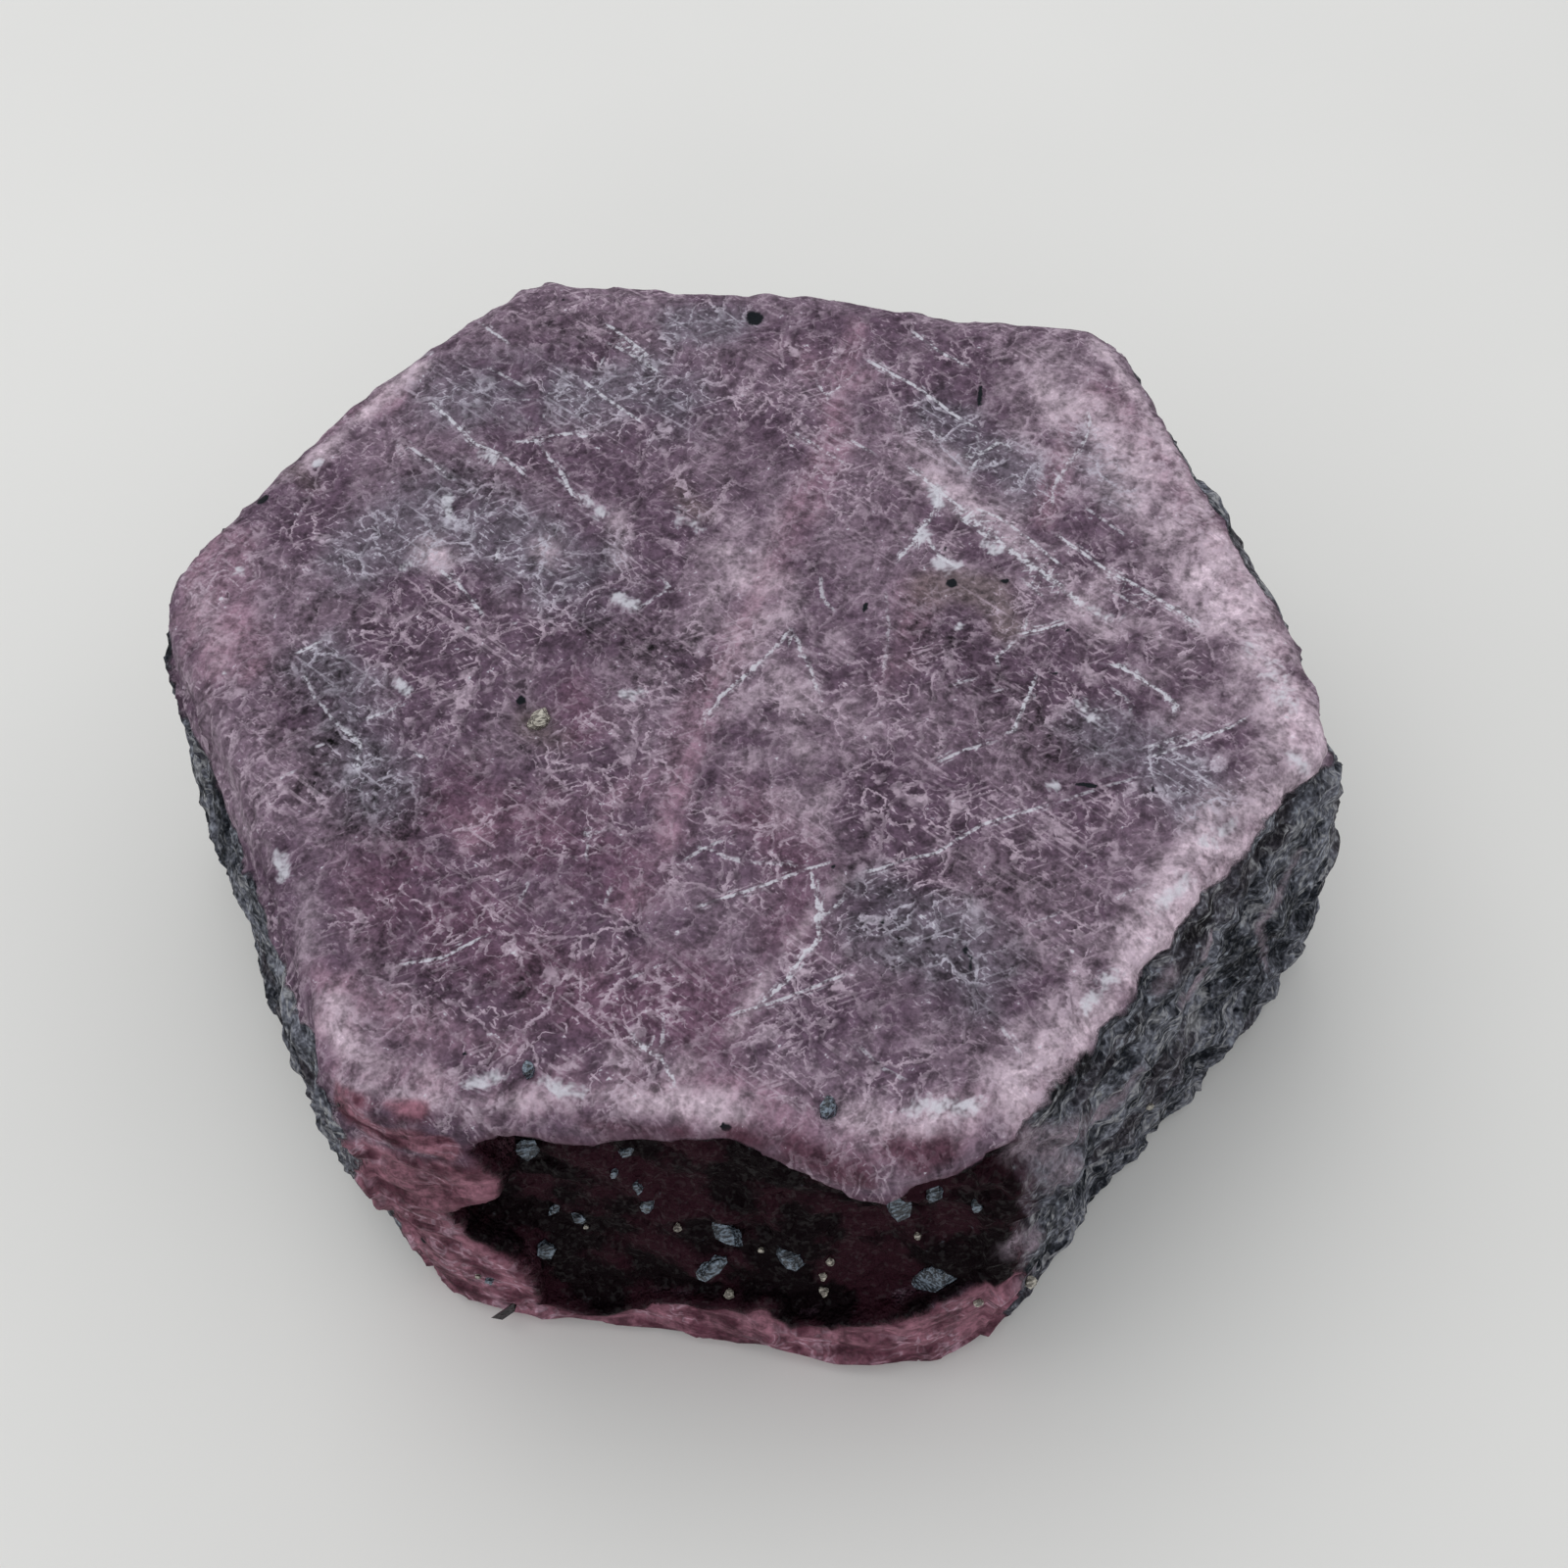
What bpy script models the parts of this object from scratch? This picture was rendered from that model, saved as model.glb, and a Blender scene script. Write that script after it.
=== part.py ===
"""A rough ruby crystal: a tabular six-sided corundum with a ground top, a worn rim, and a rough dark
mineral skin on its prism faces. It is one solid that rests on its flat underside. The tables are in
millimetres about the crystal's axis, with the underside at height 0; the finished mesh is in metres."""

import math

import bmesh
import bpy
from mathutils import Matrix, Vector, noise

MM = 0.001

# Driving sizes, in millimetres
HEIGHT = 21.0
RIM_DROP, RIM_INSET = 1.3, 1.5  # worn rim: its lower edge below the top, and how far in the flat top starts
FOOT_RISE, FOOT_INSET = 1.1, 0.9  # the same for the rounded lower edge
ROUND_STEPS = 4
SIDE_BULGE = 0.4
SIDE_LEVELS = 6
OUTLINE_SPACING = 0.8

RECESS_TOP_DEPTH, RECESS_FOOT_DEPTH = 1.7, 0.7  # its floor stands more upright than the face
FRONT_TOP_Y, FRONT_FOOT_Y = -23.1, -25.4  # the front face leans out by this much from rim to foot

VOXEL = 0.42
FLAT_BAND = 0.3  # what lies this close to the underside is ground flat
TARGET_TRIANGLES = 8600

# Stations round the crystal, clockwise from above: the rim's x and y, then the foot's
STATIONS = [
    ((-28.5, 1.7), (-30.9, 0.9)),  # left corner
    ((-27.9, 3.7), (-30.1, 4.1)),
    ((-26.8, 6.9), (-29.2, 7.2)),
    ((-25.2, 9.8), (-27.4, 10.4)),
    ((-22.8, 14.5), (-24.7, 15.2)),
    ((-19.9, 18.6), (-21.6, 19.6)),
    ((-17.2, 21.6), (-18.8, 23.0)),
    ((-15.2, 23.7), (-16.2, 25.0)),  # back left corner
    ((-12.4, 23.6), (-12.6, 25.2)),
    ((-5.5, 24.0), (-5.6, 25.4)),
    ((-2.4, 24.4), (-2.2, 25.2)),
    ((2.3, 23.9), (2.4, 25.4)),
    ((6.9, 23.4), (7.6, 25.0)),
    ((11.3, 23.5), (12.0, 24.8)),
    ((13.8, 23.2), (15.0, 24.4)),  # back right corner
    ((15.7, 21.8), (17.4, 22.6)),
    ((16.8, 20.2), (18.6, 20.4)),
    ((19.1, 15.9), (21.0, 15.8)),
    ((21.7, 10.9), (23.5, 10.8)),
    ((23.9, 6.5), (25.4, 6.4)),
    ((25.8, 2.5), (26.6, 2.4)),
    ((26.6, -0.3), (27.1, -0.6)),  # right corner
    ((26.4, -1.3), (26.9, -2.0)),
    ((24.9, -3.3), (26.0, -5.0)),
    ((22.5, -7.1), (24.0, -8.6)),
    ((20.9, -10.1), (22.1, -11.6)),
    ((18.8, -14.0), (20.0, -14.9)),
    ((17.1, -16.5), (18.3, -17.5)),
    ((15.2, -20.0), (16.4, -20.6)),  # front right corner
    ((13.7, -21.9), (14.1, -23.6)),
    ((11.1, -23.2), (11.7, -25.0)),
    ((8.7, -24.2), (8.4, -25.5)),  # tongue of the lip over the front face
    ((5.4, -23.2), (4.6, -25.5)),
    ((3.3, -22.8), (1.6, -25.4)),
    ((-1.2, -23.2), (-2.5, -25.4)),
    ((-5.5, -23.4), (-6.6, -25.4)),
    ((-9.4, -23.8), (-9.4, -25.2)),
    ((-13.3, -23.5), (-11.9, -24.5)),  # front left corner
    ((-14.4, -22.3), (-15.2, -22.3)),
    ((-16.8, -18.1), (-19.9, -16.7)),
    ((-18.9, -13.9), (-23.1, -12.2)),
    ((-21.2, -10.4), (-26.0, -8.2)),
    ((-23.6, -7.2), (-28.2, -4.8)),
    ((-26.1, -3.3), (-30.0, -1.9)),
]

# The dark recess in the front face: x across and height up that face
RECESS = [
    (-7.9, 17.2), (-6.7, 18.3), (-3.7, 18.3), (-1.0, 18.8), (4.1, 19.1), (5.4, 18.4), (6.6, 17.4),
    (8.0, 16.5), (9.3, 17.1), (10.9, 18.5), (14.5, 19.0), (14.5, 8.8), (12.3, 8.3), (8.9, 5.9),
    (7.2, 5.0), (5.1, 4.1), (4.0, 6.0), (2.6, 4.8), (-1.4, 4.1), (-2.9, 2.8), (-4.3, 1.9),
    (-7.2, 2.3), (-6.9, 4.4), (-7.8, 8.0), (-9.4, 9.6), (-10.1, 12.0), (-7.9, 13.4), (-7.5, 15.5),
]

# Single lumps, and pits with a negative height: x, y, height above the underside, radius, rise
KNOBS = [
    (16.9, -20.8, 14.4, 1.7, 0.8),  # bare ruby knob beside the front right corner
    (26.6, -3.4, 12.0, 1.5, 0.6),
    (24.6, -8.2, 5.0, 1.8, 0.6),
    (19.8, -14.2, 9.0, 1.6, 0.5),
    (-9.4, -4.0, 21.0, 1.0, -0.6),  # pit that holds a pale grain
    (7.0, -21.4, 20.8, 1.0, -0.6),
    (-3.3, 22.0, 20.8, 1.4, -0.5),
    (-25.6, 6.9, 20.8, 1.0, -0.4),
    (10.1, -22.3, 15.6, 0.9, 0.5),  # flakes that stand in the recess
    (11.9, -22.8, 10.2, 1.1, 0.5),
    (5.2, -22.9, 9.6, 0.9, 0.4),
    (2.3, -22.8, 11.2, 0.9, 0.4),
    (-10.6, -24.0, 9.6, 0.8, -0.6),  # slit in the bare corner
]

# Relief of the dark skin on the prism faces
SEAM_ANGLE = math.radians(122.7)  # the relief's own seam runs down the back left corner
MEAN_RADIUS = 27.0
LUMP_SIZE, LUMP_HEIGHT = 5.0, 0.75
RIDGE_WIDTH, RIDGE_LENGTH, RIDGE_HEIGHT = 2.1, 5.5, 0.24
RIDGE_LEAN = math.radians(38)
STEP_RISE, STEP_SWAY, STEP_HEIGHT = 3.6, 8.0, 0.3
SKIN_EDGE, SKIN_EDGE_SWAY, SKIN_STEP = 18.4, 0.9, 0.35  # where the skin starts, and how far it stands out
FRONT_FACE = (math.radians(-119), math.radians(-59))  # the angles at which the bare front face begins and ends
FRONT_SHARE = 0.55  # the front face is less rough than the rest
TOP_SWELL_SIZE, TOP_SWELL = 9.0, 0.14


def clear_scene():
    for thing in list(bpy.data.objects):
        bpy.data.objects.remove(thing, do_unlink=True)


def new_collection(name):
    collection = bpy.data.collections.new(name)
    bpy.context.scene.collection.children.link(collection)
    return collection


def new_object(name, mesh, collection):
    thing = bpy.data.objects.new(name, mesh)
    collection.objects.link(thing)
    return thing


def baked_mesh(thing):
    """The object's mesh with its modifiers applied."""
    depsgraph = bpy.context.evaluated_depsgraph_get()
    return bpy.data.meshes.new_from_object(thing.evaluated_get(depsgraph))


def smooth_step(low, high, value):
    share = min(1.0, max(0.0, (value - low) / (high - low)))
    return share * share * (3 - 2 * share)


def smooth_loop(stations, spacing):
    """Rim and foot points of a closed smooth curve through the stations, about spacing apart."""
    knots = [Vector(rim + foot) for rim, foot in stations]
    count = len(knots)
    gaps = [(knots[(i + 1) % count] - knots[i]).length for i in range(count)]
    slopes = []
    for i in range(count):
        before, after = gaps[i - 1], gaps[i]
        coming = (knots[i] - knots[i - 1]) / before
        going = (knots[(i + 1) % count] - knots[i]) / after
        slopes.append((coming * after + going * before) / (before + after))
    points = []
    for i in range(count):
        start, end, gap = knots[i], knots[(i + 1) % count], gaps[i]
        pieces = max(1, round(gap / spacing))
        for k in range(pieces):
            t = k / pieces
            points.append(
                start * (1 + 2 * t) * (1 - t) ** 2
                + slopes[i] * gap * t * (1 - t) ** 2
                + end * t * t * (3 - 2 * t)
                + slopes[(i + 1) % count] * gap * t * t * (t - 1)
            )
    return [(Vector(p[:2]), Vector(p[2:])) for p in points]


def level_profile():
    """Height and inset of each ring, from the edge of the underside to the edge of the flat top."""
    levels = []
    for k in range(ROUND_STEPS + 1):
        turn = math.radians(90) * k / ROUND_STEPS
        levels.append((FOOT_RISE * (1 - math.cos(turn)), FOOT_INSET * (1 - math.sin(turn))))
    shoulder = HEIGHT - RIM_DROP
    for k in range(1, SIDE_LEVELS):
        levels.append((FOOT_RISE + (shoulder - FOOT_RISE) * k / SIDE_LEVELS, 0.0))
    for k in range(ROUND_STEPS + 1):
        turn = math.radians(90) * k / ROUND_STEPS
        levels.append((shoulder + RIM_DROP * math.sin(turn), RIM_INSET * (1 - math.cos(turn))))
    return levels


def make_blank(collection):
    """The crystal before any carving: a loft from the foot's outline to the rim's, closed at both ends."""
    loop = smooth_loop(STATIONS, OUTLINE_SPACING)
    count = len(loop)
    bm = bmesh.new()
    rings = []
    for height, inset in level_profile():
        share = height / HEIGHT
        places = [foot.lerp(rim, share) for rim, foot in loop]
        outward = SIDE_BULGE * 4 * share * (1 - share) - inset
        ring = []
        for i, place in enumerate(places):
            along = places[(i + 1) % count] - places[i - 1]
            normal = Vector((-along.y, along.x)).normalized()
            moved = place + normal * outward
            ring.append(bm.verts.new((moved.x, moved.y, height)))
        rings.append(ring)
    for lower, upper in zip(rings, rings[1:]):
        for i in range(count):
            j = (i + 1) % count
            bm.faces.new((lower[i], upper[i], upper[j], lower[j]))
    bm.faces.new(rings[0])
    bm.faces.new(reversed(rings[-1]))
    bmesh.ops.recalc_face_normals(bm, faces=bm.faces)
    mesh = bpy.data.meshes.new("blank")
    bm.to_mesh(mesh)
    bm.free()
    return new_object("ruby_crystal", mesh, collection)


def make_recess_cutter(collection):
    """A flat plate of the recess's outline, sunk into the leaning front face as far as the recess's floor."""
    outline = bpy.data.curves.new("recess_outline", "CURVE")
    outline.dimensions = "2D"
    outline.fill_mode = "BOTH"
    outline.extrude = 3.0
    spline = outline.splines.new("POLY")
    spline.points.add(len(RECESS) - 1)
    for point, (x, height) in zip(spline.points, RECESS):
        point.co = (x, height, 0.0, 1.0)
    spline.use_cyclic_u = True
    drawn = new_object("recess_outline", outline, collection)
    bpy.context.view_layer.update()
    mesh = baked_mesh(drawn)
    bpy.data.objects.remove(drawn, do_unlink=True)
    bm = bmesh.new()
    bm.from_mesh(mesh)
    bmesh.ops.remove_doubles(bm, verts=bm.verts, dist=0.0001)
    bm.to_mesh(mesh)
    bm.free()
    floor_top, floor_foot = FRONT_TOP_Y + RECESS_TOP_DEPTH, FRONT_FOOT_Y + RECESS_FOOT_DEPTH
    lean = math.atan2(floor_top - floor_foot, HEIGHT - RIM_DROP)
    upright = Matrix.Rotation(math.radians(90) - lean, 4, "X")
    outside = Matrix.Translation((0.0, 0.0, outline.extrude))
    mesh.transform(Matrix.Translation((0.0, floor_foot, 0.0)) @ upright @ outside)
    cutter = new_object("recess_cutter", mesh, collection)
    cutter.hide_render = True
    cutter.display_type = "WIRE"
    return cutter


def skin_relief(place, angle):
    """How far the skin stands out at a place on the prism faces, from lumps, leaning ridges and steps."""
    around = ((angle - SEAM_ANGLE) % (2 * math.pi)) * MEAN_RADIUS
    lumps = noise.noise(place / LUMP_SIZE) * LUMP_HEIGHT
    across = around * math.cos(RIDGE_LEAN) + place.z * math.sin(RIDGE_LEAN)
    along = place.z * math.cos(RIDGE_LEAN) - around * math.sin(RIDGE_LEAN)
    crest = noise.noise(Vector((across / RIDGE_WIDTH, along / RIDGE_LENGTH, 3.7)))
    ridges = (1 - 3 * abs(crest)) * RIDGE_HEIGHT
    sway = noise.noise(Vector((around / STEP_SWAY, place.z / STEP_SWAY, 8.1)))
    steps = ((place.z / STEP_RISE + 2 * sway) % 1 - 0.5) * STEP_HEIGHT
    relief = lumps + ridges + steps
    if FRONT_FACE[0] < angle < FRONT_FACE[1]:
        return relief * FRONT_SHARE
    edge = SKIN_EDGE + SKIN_EDGE_SWAY * noise.noise(Vector((around / 3.0, 0.0, 5.3)))
    return relief + SKIN_STEP * (1 - smooth_step(edge - 0.5, edge + 0.5, place.z))


def knob_relief(place):
    rise = 0.0
    for x, y, height, radius, top in KNOBS:
        away = (place - Vector((x, y, height))).length / radius
        if away < 3:
            rise += top * math.exp(-away * away)
    return rise


def add_relief(mesh):
    """Moves each vertex along its normal, and grinds the underside flat."""
    places = [v.co.copy() for v in mesh.vertices]
    normals = [v.normal.copy() for v in mesh.vertices]
    for vertex, place, normal in zip(mesh.vertices, places, normals):
        if place.z < FLAT_BAND:
            vertex.co.z = 0.0
            continue
        angle = math.atan2(place.y, place.x)
        side = 1 - smooth_step(0.45, 0.9, abs(normal.z))
        near_foot = smooth_step(0.0, FOOT_RISE, place.z)
        near_rim = 1 - smooth_step(HEIGHT - 2 * RIM_DROP, HEIGHT, place.z)
        skin = skin_relief(place, angle) * side * near_foot * (0.35 + 0.65 * near_rim)
        swell = noise.noise(Vector((place.x, place.y, 0.0)) / TOP_SWELL_SIZE) * TOP_SWELL
        top = swell * smooth_step(HEIGHT / 2, HEIGHT, place.z) * (1 - side)
        vertex.co = place + normal * (skin + top + knob_relief(place))
        vertex.co.z = max(vertex.co.z, 0.0)


def thin_out(thing, triangles):
    """Collapses the fine mesh to about this many triangles, and keeps the underside flat."""
    thing.data.calc_loop_triangles()
    thinner = thing.modifiers.new("thin_out", "DECIMATE")
    thinner.ratio = triangles / len(thing.data.loop_triangles)
    thinner.use_collapse_triangulate = True
    bpy.context.view_layer.update()
    mesh = baked_mesh(thing)
    thing.modifiers.clear()
    thing.data = mesh
    for vertex in mesh.vertices:
        if vertex.co.z < FLAT_BAND / 2:
            vertex.co.z = 0.0


def stand_on_origin(mesh):
    """Puts the middle of the box over the origin, and turns millimetres into metres."""
    xs = [v.co.x for v in mesh.vertices]
    ys = [v.co.y for v in mesh.vertices]
    middle = Vector(((min(xs) + max(xs)) / 2, (min(ys) + max(ys)) / 2, 0.0))
    mesh.transform(Matrix.Scale(MM, 4) @ Matrix.Translation(-middle))


def ruby_material():
    material = bpy.data.materials.new("rough_ruby")
    material.use_nodes = True
    shader = material.node_tree.nodes["Principled BSDF"]
    shader.inputs["Base Color"].default_value = (0.16, 0.085, 0.115, 1.0)
    shader.inputs["Roughness"].default_value = 0.55
    shader.inputs["Metallic"].default_value = 0.0
    return material


def make_crystal():
    crystals = new_collection("rough_ruby_crystal")
    cutters = new_collection("cutters")
    crystal = make_blank(crystals)
    cutter = make_recess_cutter(cutters)
    cut = crystal.modifiers.new("recess", "BOOLEAN")
    cut.operation = "DIFFERENCE"
    cut.solver = "EXACT"
    cut.object = cutter
    even = crystal.modifiers.new("even_mesh", "REMESH")
    even.mode = "VOXEL"
    even.voxel_size = VOXEL
    bpy.context.view_layer.update()
    mesh = baked_mesh(crystal)
    crystal.modifiers.clear()
    crystal.data = mesh
    add_relief(mesh)
    thin_out(crystal, TARGET_TRIANGLES)
    stand_on_origin(crystal.data)
    crystal.data.materials.clear()
    crystal.data.materials.append(ruby_material())
    return crystal


clear_scene()
make_crystal()
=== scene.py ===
# Rough ruby crystal: the fine surface, the finish, and the light it is seen in.
# Tables are in millimetres about the crystal's axis, with the underside at height 0.
import math

import bmesh
import bpy
from mathutils import Matrix, Vector, noise
from mathutils.bvhtree import BVHTree
from mathutils.kdtree import KDTree


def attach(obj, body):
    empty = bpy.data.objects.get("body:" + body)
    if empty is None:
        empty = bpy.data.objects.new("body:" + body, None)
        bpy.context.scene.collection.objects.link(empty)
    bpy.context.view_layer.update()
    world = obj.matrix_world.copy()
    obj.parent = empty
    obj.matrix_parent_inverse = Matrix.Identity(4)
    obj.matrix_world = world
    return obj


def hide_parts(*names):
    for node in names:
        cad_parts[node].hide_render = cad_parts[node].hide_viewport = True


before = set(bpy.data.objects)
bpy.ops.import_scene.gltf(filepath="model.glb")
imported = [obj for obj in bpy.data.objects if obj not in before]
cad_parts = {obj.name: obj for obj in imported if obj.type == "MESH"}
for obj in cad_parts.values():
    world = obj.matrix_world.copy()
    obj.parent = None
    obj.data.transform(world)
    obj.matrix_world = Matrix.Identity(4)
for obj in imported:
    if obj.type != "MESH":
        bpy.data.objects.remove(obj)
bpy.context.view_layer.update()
scene = bpy.context.scene

mm = 0.001
axisFromOrigin = Vector((1.566, -0.181, 0.0))  # the crystal's axis, from the part's origin
noiseShift = (41.3, 27.7, 13.1)  # keeps the textures clear of the noise's own centre

# Camera, solved from the six edges of the ground top
view = {
    "frameSide": 1600,  # the photo's side, in pixels
    "focalPixels": 2200.0,
    "pixelsPerMm": 20,  # about, on the stone
    "sensor": 36.0,
    "eye": (14.6, -56.7, 102.3),
    "turn": 13.34,
    "tilt": 32.51,
    "roll": -5.18,
}


def cameraTurn():
    turn = Matrix.Rotation(math.radians(view["turn"]), 3, "Z")
    tilt = Matrix.Rotation(math.radians(view["tilt"]), 3, "X")
    roll = Matrix.Rotation(math.radians(view["roll"]), 3, "Z")
    return turn @ tilt @ roll


def inPart(place):
    return (Vector(place) + axisFromOrigin) * mm


def makeCamera():
    data = bpy.data.cameras.new("camera")
    data.sensor_width = view["sensor"]
    data.lens = view["focalPixels"] / view["frameSide"] * view["sensor"]
    data.clip_start, data.clip_end = 0.005, 10.0
    camera = bpy.data.objects.new("camera", data)
    camera.matrix_world = Matrix.Translation(inPart(view["eye"])) @ cameraTurn().to_4x4()
    scene.collection.objects.link(camera)
    scene.camera = camera


makeCamera()
print("camera placed")


# The crystal's form
crystal = {
    "height": 21.0,
    "rimDrop": 1.3,  # the worn rim reaches this far below the top
    "rimInset": 1.5,
    "footRise": 1.1,
    "footInset": 0.9,
    "roundSteps": 5,
    "sideBulge": 0.4,
    "sideLevels": 6,
    "outlineSpacing": 0.7,
    "voxel": 0.28,
    "flatBand": 0.3,
    # stations clockwise from above: the rim's x and y, then the foot's
    "stations": [
        ((-28.5, 1.7), (-30.4, 0.9)),  # left corner
        ((-27.9, 3.7), (-29.9, 4.1)),
        ((-26.8, 6.9), (-29.2, 7.2)),
        ((-25.2, 9.8), (-27.4, 10.4)),
        ((-22.8, 14.5), (-24.7, 15.2)),
        ((-19.9, 18.6), (-21.6, 19.6)),
        ((-17.2, 21.6), (-18.8, 23.0)),
        ((-15.2, 23.7), (-16.2, 25.0)),  # back left corner
        ((-12.4, 23.6), (-12.6, 25.2)),
        ((-5.5, 24.0), (-5.6, 25.4)),
        ((-2.4, 24.4), (-2.2, 25.2)),
        ((2.3, 23.9), (2.4, 25.4)),
        ((6.9, 23.4), (7.6, 25.0)),
        ((11.3, 23.5), (12.0, 24.8)),
        ((13.8, 23.2), (15.0, 24.4)),  # back right corner
        ((15.7, 21.8), (17.4, 22.6)),
        ((16.8, 20.2), (18.6, 20.4)),
        ((19.1, 15.9), (21.0, 15.8)),
        ((21.7, 10.9), (23.5, 10.8)),
        ((23.9, 6.5), (25.4, 6.4)),
        ((25.8, 2.5), (26.6, 2.4)),
        ((26.6, -0.3), (27.1, -0.6)),  # right corner
        ((26.4, -1.3), (26.9, -2.0)),
        ((24.9, -3.3), (25.5, -4.6)),
        ((22.5, -7.1), (23.4, -8.2)),
        ((20.9, -10.1), (21.4, -11.2)),
        ((18.8, -14.0), (19.4, -14.5)),
        ((17.1, -16.5), (17.7, -17.1)),
        ((15.2, -20.0), (16.0, -20.4)),  # front right corner
        ((13.7, -21.9), (14.0, -23.4)),
        ((11.1, -23.3), (11.7, -24.9)),
        ((8.9, -23.8), (8.4, -25.4)),  # tongue of the lip over the front face
        ((5.4, -23.2), (4.6, -25.5)),
        ((3.3, -22.8), (1.6, -25.4)),
        ((-1.2, -23.2), (-2.5, -25.4)),
        ((-5.5, -23.4), (-6.6, -25.4)),
        ((-9.4, -23.8), (-9.4, -25.2)),
        ((-13.3, -23.5), (-11.9, -24.5)),  # front left corner
        ((-14.4, -22.3), (-14.7, -22.0)),
        ((-16.8, -18.1), (-19.5, -16.5)),
        ((-18.9, -13.9), (-22.9, -12.2)),
        ((-21.2, -10.4), (-25.7, -8.2)),
        ((-23.6, -7.2), (-27.8, -4.8)),
        ((-26.1, -3.3), (-29.5, -1.9)),
    ],
    # single lumps, and pits with a negative height: x, y, height, radius, rise
    "knobs": [
        (16.9, -20.8, 14.4, 1.7, 0.8),  # bare ruby knob beside the front right corner
        (26.6, -3.4, 12.0, 1.5, 0.6),
        (24.6, -8.2, 5.0, 1.8, 0.6),
        (19.8, -14.2, 9.0, 1.6, 0.5),
        (-9.4, -4.0, 21.0, 1.0, -0.6),  # pit that holds a pale grain
        (7.0, -21.4, 20.8, 1.0, -0.6),
        (-3.3, 22.0, 20.8, 1.4, -0.5),
        (-25.6, 6.9, 20.8, 1.0, -0.4),
        (10.1, -22.3, 15.6, 0.9, 0.5),
        (11.9, -22.8, 10.2, 1.1, 0.5),
        (5.2, -22.9, 9.6, 0.9, 0.4),
        (2.3, -22.8, 11.2, 0.9, 0.4),
        (-10.6, -24.0, 9.6, 0.8, -0.6),  # slit in the bare corner
    ],
}

# The dark recess in the front face
recess = {
    "topDepth": 1.7,
    "footDepth": 0.7,
    "faceTopY": -23.1,
    "faceFootY": -25.4,
    "cutterDepth": 3.0,
    "behindY": -19.0,  # past these a place isn't on the front face
    "besideX": 17.0,
    "farOutside": -9.0,
    # x across and height up the face
    "outline": [
        (-8.2, 18.0), (-6.7, 19.1), (-3.7, 19.1), (-1.0, 19.5), (4.1, 19.7), (5.6, 19.1), (7.0, 18.3),
        (8.6, 17.9), (10.2, 18.4), (11.4, 19.2), (14.5, 19.4), (14.5, 8.8), (12.3, 8.3), (8.9, 5.9),
        (7.2, 5.0), (5.1, 4.1), (4.0, 6.0), (2.6, 4.8), (-1.4, 4.1), (-2.9, 2.8), (-4.3, 1.9),
        (-7.2, 2.3), (-6.9, 4.4), (-7.8, 8.0), (-9.4, 9.6), (-10.1, 12.0), (-7.6, 13.4), (-7.0, 15.6),
    ],
    "lumpSize": 1.3,
    "lumpHeight": 0.3,
    "crumbSize": 0.6,
    "crumbHeight": 0.16,
}

# The dark mineral skin on the prism faces
skin = {
    "seamAngle": 122.7,
    "meanRadius": 27.0,
    "lumpSize": 5.0,
    "lumpHeight": 0.75,
    "ridgeWidth": 2.1,
    "ridgeLength": 5.5,
    "ridgeHeight": 0.3,
    "ridgeLean": 38,
    "stepRise": 3.6,
    "stepSway": 8.0,
    "stepHeight": 0.3,
    "edge": 18.4,
    "edgeSway": 0.9,
    "thickness": 0.35,
    "frontShare": 0.55,
    "frontFrom": -119,
    "frontTo": -59,
    "knotSize": 1.4,
    "knotHeight": 0.16,
    "crumbSize": 0.6,
    "crumbHeight": 0.1,
    # angle round the axis, and the height at which the skin ends there
    "upperEdge": [
        (-180, 18.6), (-174, 17.4), (-170, 16.6), (-165, 15.4), (-159, 16.2), (-152, 17.0), (-146, 17.8),
        (-139, 18.0), (-133, 18.2), (-128, 18.9), (-122, 19.4), (-100, 19.0), (-60, 19.0), (-52, 20.2),
        (-33, 19.8), (-13, 20.2), (-4, 19.6), (0, 17.9), (6, 19.2), (14, 19.8), (19, 20.9), (36, 20.9),
        (42, 19.8), (60, 19.6), (122, 19.3), (180, 18.6),
    ],
    "bareFrom": (-120.4, 0.0),  # angle at the foot, and its lean per mm of height
    "bareTo": (-56.4, -0.05),
}

# Growth lines on the bare front, and the worn rim
bareStone = {
    "lineRise": 1.3,
    "lineHeight": 0.07,
    "streakLength": 2.2,
    "streakRise": 0.8,
    "streakHeight": 0.16,
    "chipSize": 1.2,
    "chipHeight": 0.2,
    "frontAngles": (-140, -124, -60, -46),  # where the bare front begins and ends
    "lipFoot": (16.0, 19.0),  # the pink lip fades out between these heights
    "swellSize": 9.0,
    "swell": 0.14,
}


def smoothStep(low, high, value):
    share = min(1.0, max(0.0, (value - low) / (high - low)))
    return share * share * (3 - 2 * share)


def noiseAt(x, y, z):
    return noise.noise(Vector((x, y, z)))


def cloud(place, size, octaves):
    return noise.fractal(place / size, 0.8, 2.0, octaves)


def smoothLoop(stations, spacing):
    # rim and foot points of a closed smooth curve through the stations
    knots = [Vector(rim + foot) for rim, foot in stations]
    count = len(knots)
    gaps = [(knots[(i + 1) % count] - knots[i]).length for i in range(count)]
    slopes = []
    for i in range(count):
        before, after = gaps[i - 1], gaps[i]
        coming = (knots[i] - knots[i - 1]) / before
        going = (knots[(i + 1) % count] - knots[i]) / after
        slopes.append((coming * after + going * before) / (before + after))
    points = []
    for i in range(count):
        start, end, gap = knots[i], knots[(i + 1) % count], gaps[i]
        pieces = max(1, round(gap / spacing))
        for k in range(pieces):
            t = k / pieces
            points.append(
                start * (1 + 2 * t) * (1 - t) ** 2
                + slopes[i] * gap * t * (1 - t) ** 2
                + end * t * t * (3 - 2 * t)
                + slopes[(i + 1) % count] * gap * t * t * (t - 1)
            )
    return [(Vector(p[:2]), Vector(p[2:])) for p in points]


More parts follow.
